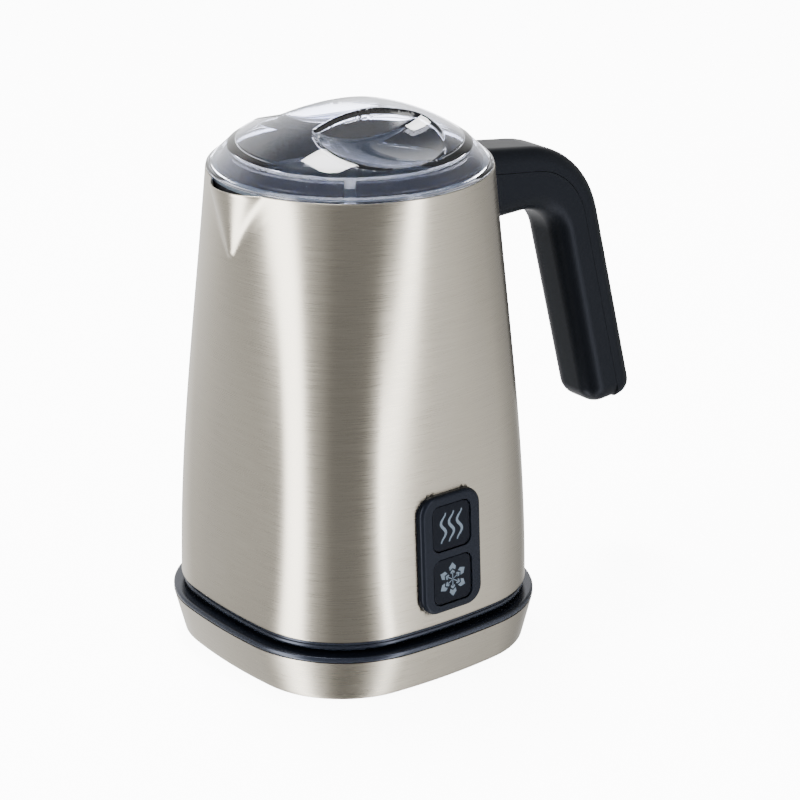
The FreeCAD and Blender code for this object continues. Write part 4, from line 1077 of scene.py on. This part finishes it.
class FROTHER_OT_stage(bpy.types.Operator):
    """Set the lit white floor, the studio's walls, the lamp overhead and the camera."""
    bl_idname = "frother.stage"
    bl_label = "Stage"

    def execute(self, context):
        scene = context.scene
        bm = bmesh.new()
        bmesh.ops.create_grid(bm, x_segments=8, y_segments=8, size=6000)
        material, tree, bsdf = new_material("lit_white_acrylic", **{
            "Roughness": 0.9, "Emission Color": srgb("#FFFFFF"), "Emission Strength": 10.0})
        cloud_wide = 400.0   # mm across a faint change in the sheet
        cloud = pattern(tree, cloud_wide, detail=1.0)
        vary(tree, bsdf, colour=(cloud, srgb("#FBFBFB"), srgb("#FFFFFF")))
        floor = finish_piece(bm, "white_floor", material, None)
        floor.visible_glossy = False
        self.surround(scene)
        self.light("top_softbox", place=(0.03, 0.30, 1.33), aim=(0, 0, 0.17), width=0.36,
                   height=0.42, power=26)

        camera_data = bpy.data.cameras.new("camera")
        camera_data.lens = 120.46
        camera_data.sensor_width = 36
        camera_data.clip_end = 50
        camera = bpy.data.objects.new("camera", camera_data)
        camera.location = (-0.53083, -0.70371, 0.42501)
        target = Vector((0.01339, -0.01051, 0.08821))
        camera.rotation_euler = (target - camera.location).to_track_quat("-Z", "Y").to_euler()
        scene.collection.objects.link(camera)
        scene.camera = camera
        return {"FINISHED"}

    def surround(self, scene):
        """Studio walls all round: grey card with two tall lit panels, and a dark ceiling.

        Each stop is a compass angle in degrees, from the panel's side towards the handle's, and how
        bright the wall is there.
        """
        walls = [(-180, 1.6), (-150, 0.9), (-124, 0.7), (-112, 1.3), (-105, 11.0), (-86, 11.0),
                 (-79, 1.0), (-50, 0.3), (-8, 0.32), (9, 1.2), (12, 10.0), (19.5, 10.0), (23, 1.5),
                 (60, 0.95), (86, 0.6), (108, 0.4), (135, 1.6), (180, 1.6)]
        brightest = 11.0
        ceiling = (0.05, 0.052, 0.058, 1)
        ceiling_from, ceiling_full = 0.5, 0.85
        world = bpy.data.worlds.new("studio")
        world.use_nodes = True
        tree = world.node_tree
        place = add_node(tree, "ShaderNodeTexCoord")
        turned = add_node(tree, "ShaderNodeMapping", inputs={"Rotation": (0, 0, math.pi / 2)},
                          links={"Vector": place.outputs["Generated"]})
        compass = add_node(tree, "ShaderNodeTexGradient", {"gradient_type": "RADIAL"},
                           links={"Vector": turned.outputs["Vector"]})
        ramp = add_node(tree, "ShaderNodeValToRGB", links={"Fac": compass.outputs["Fac"]})
        stops = ramp.color_ramp.elements
        while len(stops) < len(walls):
            stops.new(0.5)
        for stop, (angle, level) in zip(stops, walls):
            stop.position = angle / 360 + 0.5
            stop.color = (level / brightest, level / brightest, level / brightest, 1)
        split = add_node(tree, "ShaderNodeSeparateXYZ",
                         links={"Vector": place.outputs["Generated"]})
        rise = add_node(tree, "ShaderNodeMapRange", {"interpolation_type": "SMOOTHSTEP"},
                        {"From Min": ceiling_from, "From Max": ceiling_full},
                        {"Value": split.outputs["Z"]})
        mixed = add_node(tree, "ShaderNodeMix", {"data_type": "RGBA"}, {"B": ceiling},
                         {"Factor": rise.outputs["Result"], "A": ramp.outputs["Color"]})
        background = tree.nodes["Background"]
        background.inputs["Strength"].default_value = brightest
        tree.links.new(mixed.outputs["Result"], background.inputs["Color"])
        scene.world = world

    def light(self, name, place, aim, width, height, power):
        """A rectangular softbox that faces a point."""
        data = bpy.data.lights.new(name, "AREA")
        data.shape = "RECTANGLE"
        data.size = width
        data.size_y = height
        data.energy = power
        lamp = bpy.data.objects.new(name, data)
        lamp.location = place
        lamp.rotation_euler = (Vector(aim) - Vector(place)).to_track_quat("-Z", "Y").to_euler()
        bpy.context.scene.collection.objects.link(lamp)


class FROTHER_PT_sidebar(bpy.types.Panel):
    """The frother's pieces, sizes and colours."""
    bl_label = "Milk Frother"
    bl_idname = "FROTHER_PT_sidebar"
    bl_space_type = "VIEW_3D"
    bl_region_type = "UI"
    bl_category = "Frother"

    def draw(self, context):
        for operator in PIECES:
            self.layout.operator(operator.bl_idname)
        for settings in (context.scene.frother_sizes, context.scene.frother_colours):
            for name in settings.bl_rna.properties.keys():
                if name not in ("rna_type", "name"):
                    self.layout.prop(settings, name)


PIECES = (
    FROTHER_OT_base,
    FROTHER_OT_shell,
    FROTHER_OT_bowl,
    FROTHER_OT_lid,
    FROTHER_OT_handle,
    FROTHER_OT_panel,
    FROTHER_OT_inner_parts,
    FROTHER_OT_stage,
)
CLASSES = (FrotherSizes, FrotherColours, *PIECES, FROTHER_PT_sidebar)


def register():
    for item in CLASSES:
        bpy.utils.register_class(item)
    bpy.types.Scene.frother_sizes = PointerProperty(type=FrotherSizes)
    bpy.types.Scene.frother_colours = PointerProperty(type=FrotherColours)


def unregister():
    del bpy.types.Scene.frother_sizes
    del bpy.types.Scene.frother_colours
    for item in reversed(CLASSES):
        bpy.utils.unregister_class(item)


def main():
    """Build every piece in order."""
    register()
    make_materials()
    bpy.ops.frother.stage()
    bpy.ops.frother.base()
    bpy.ops.frother.shell()
    bpy.ops.frother.bowl()
    bpy.ops.frother.lid()
    bpy.ops.frother.handle()
    bpy.ops.frother.panel()
    bpy.ops.frother.inner_parts()


if __name__ == "__main__":
    main()
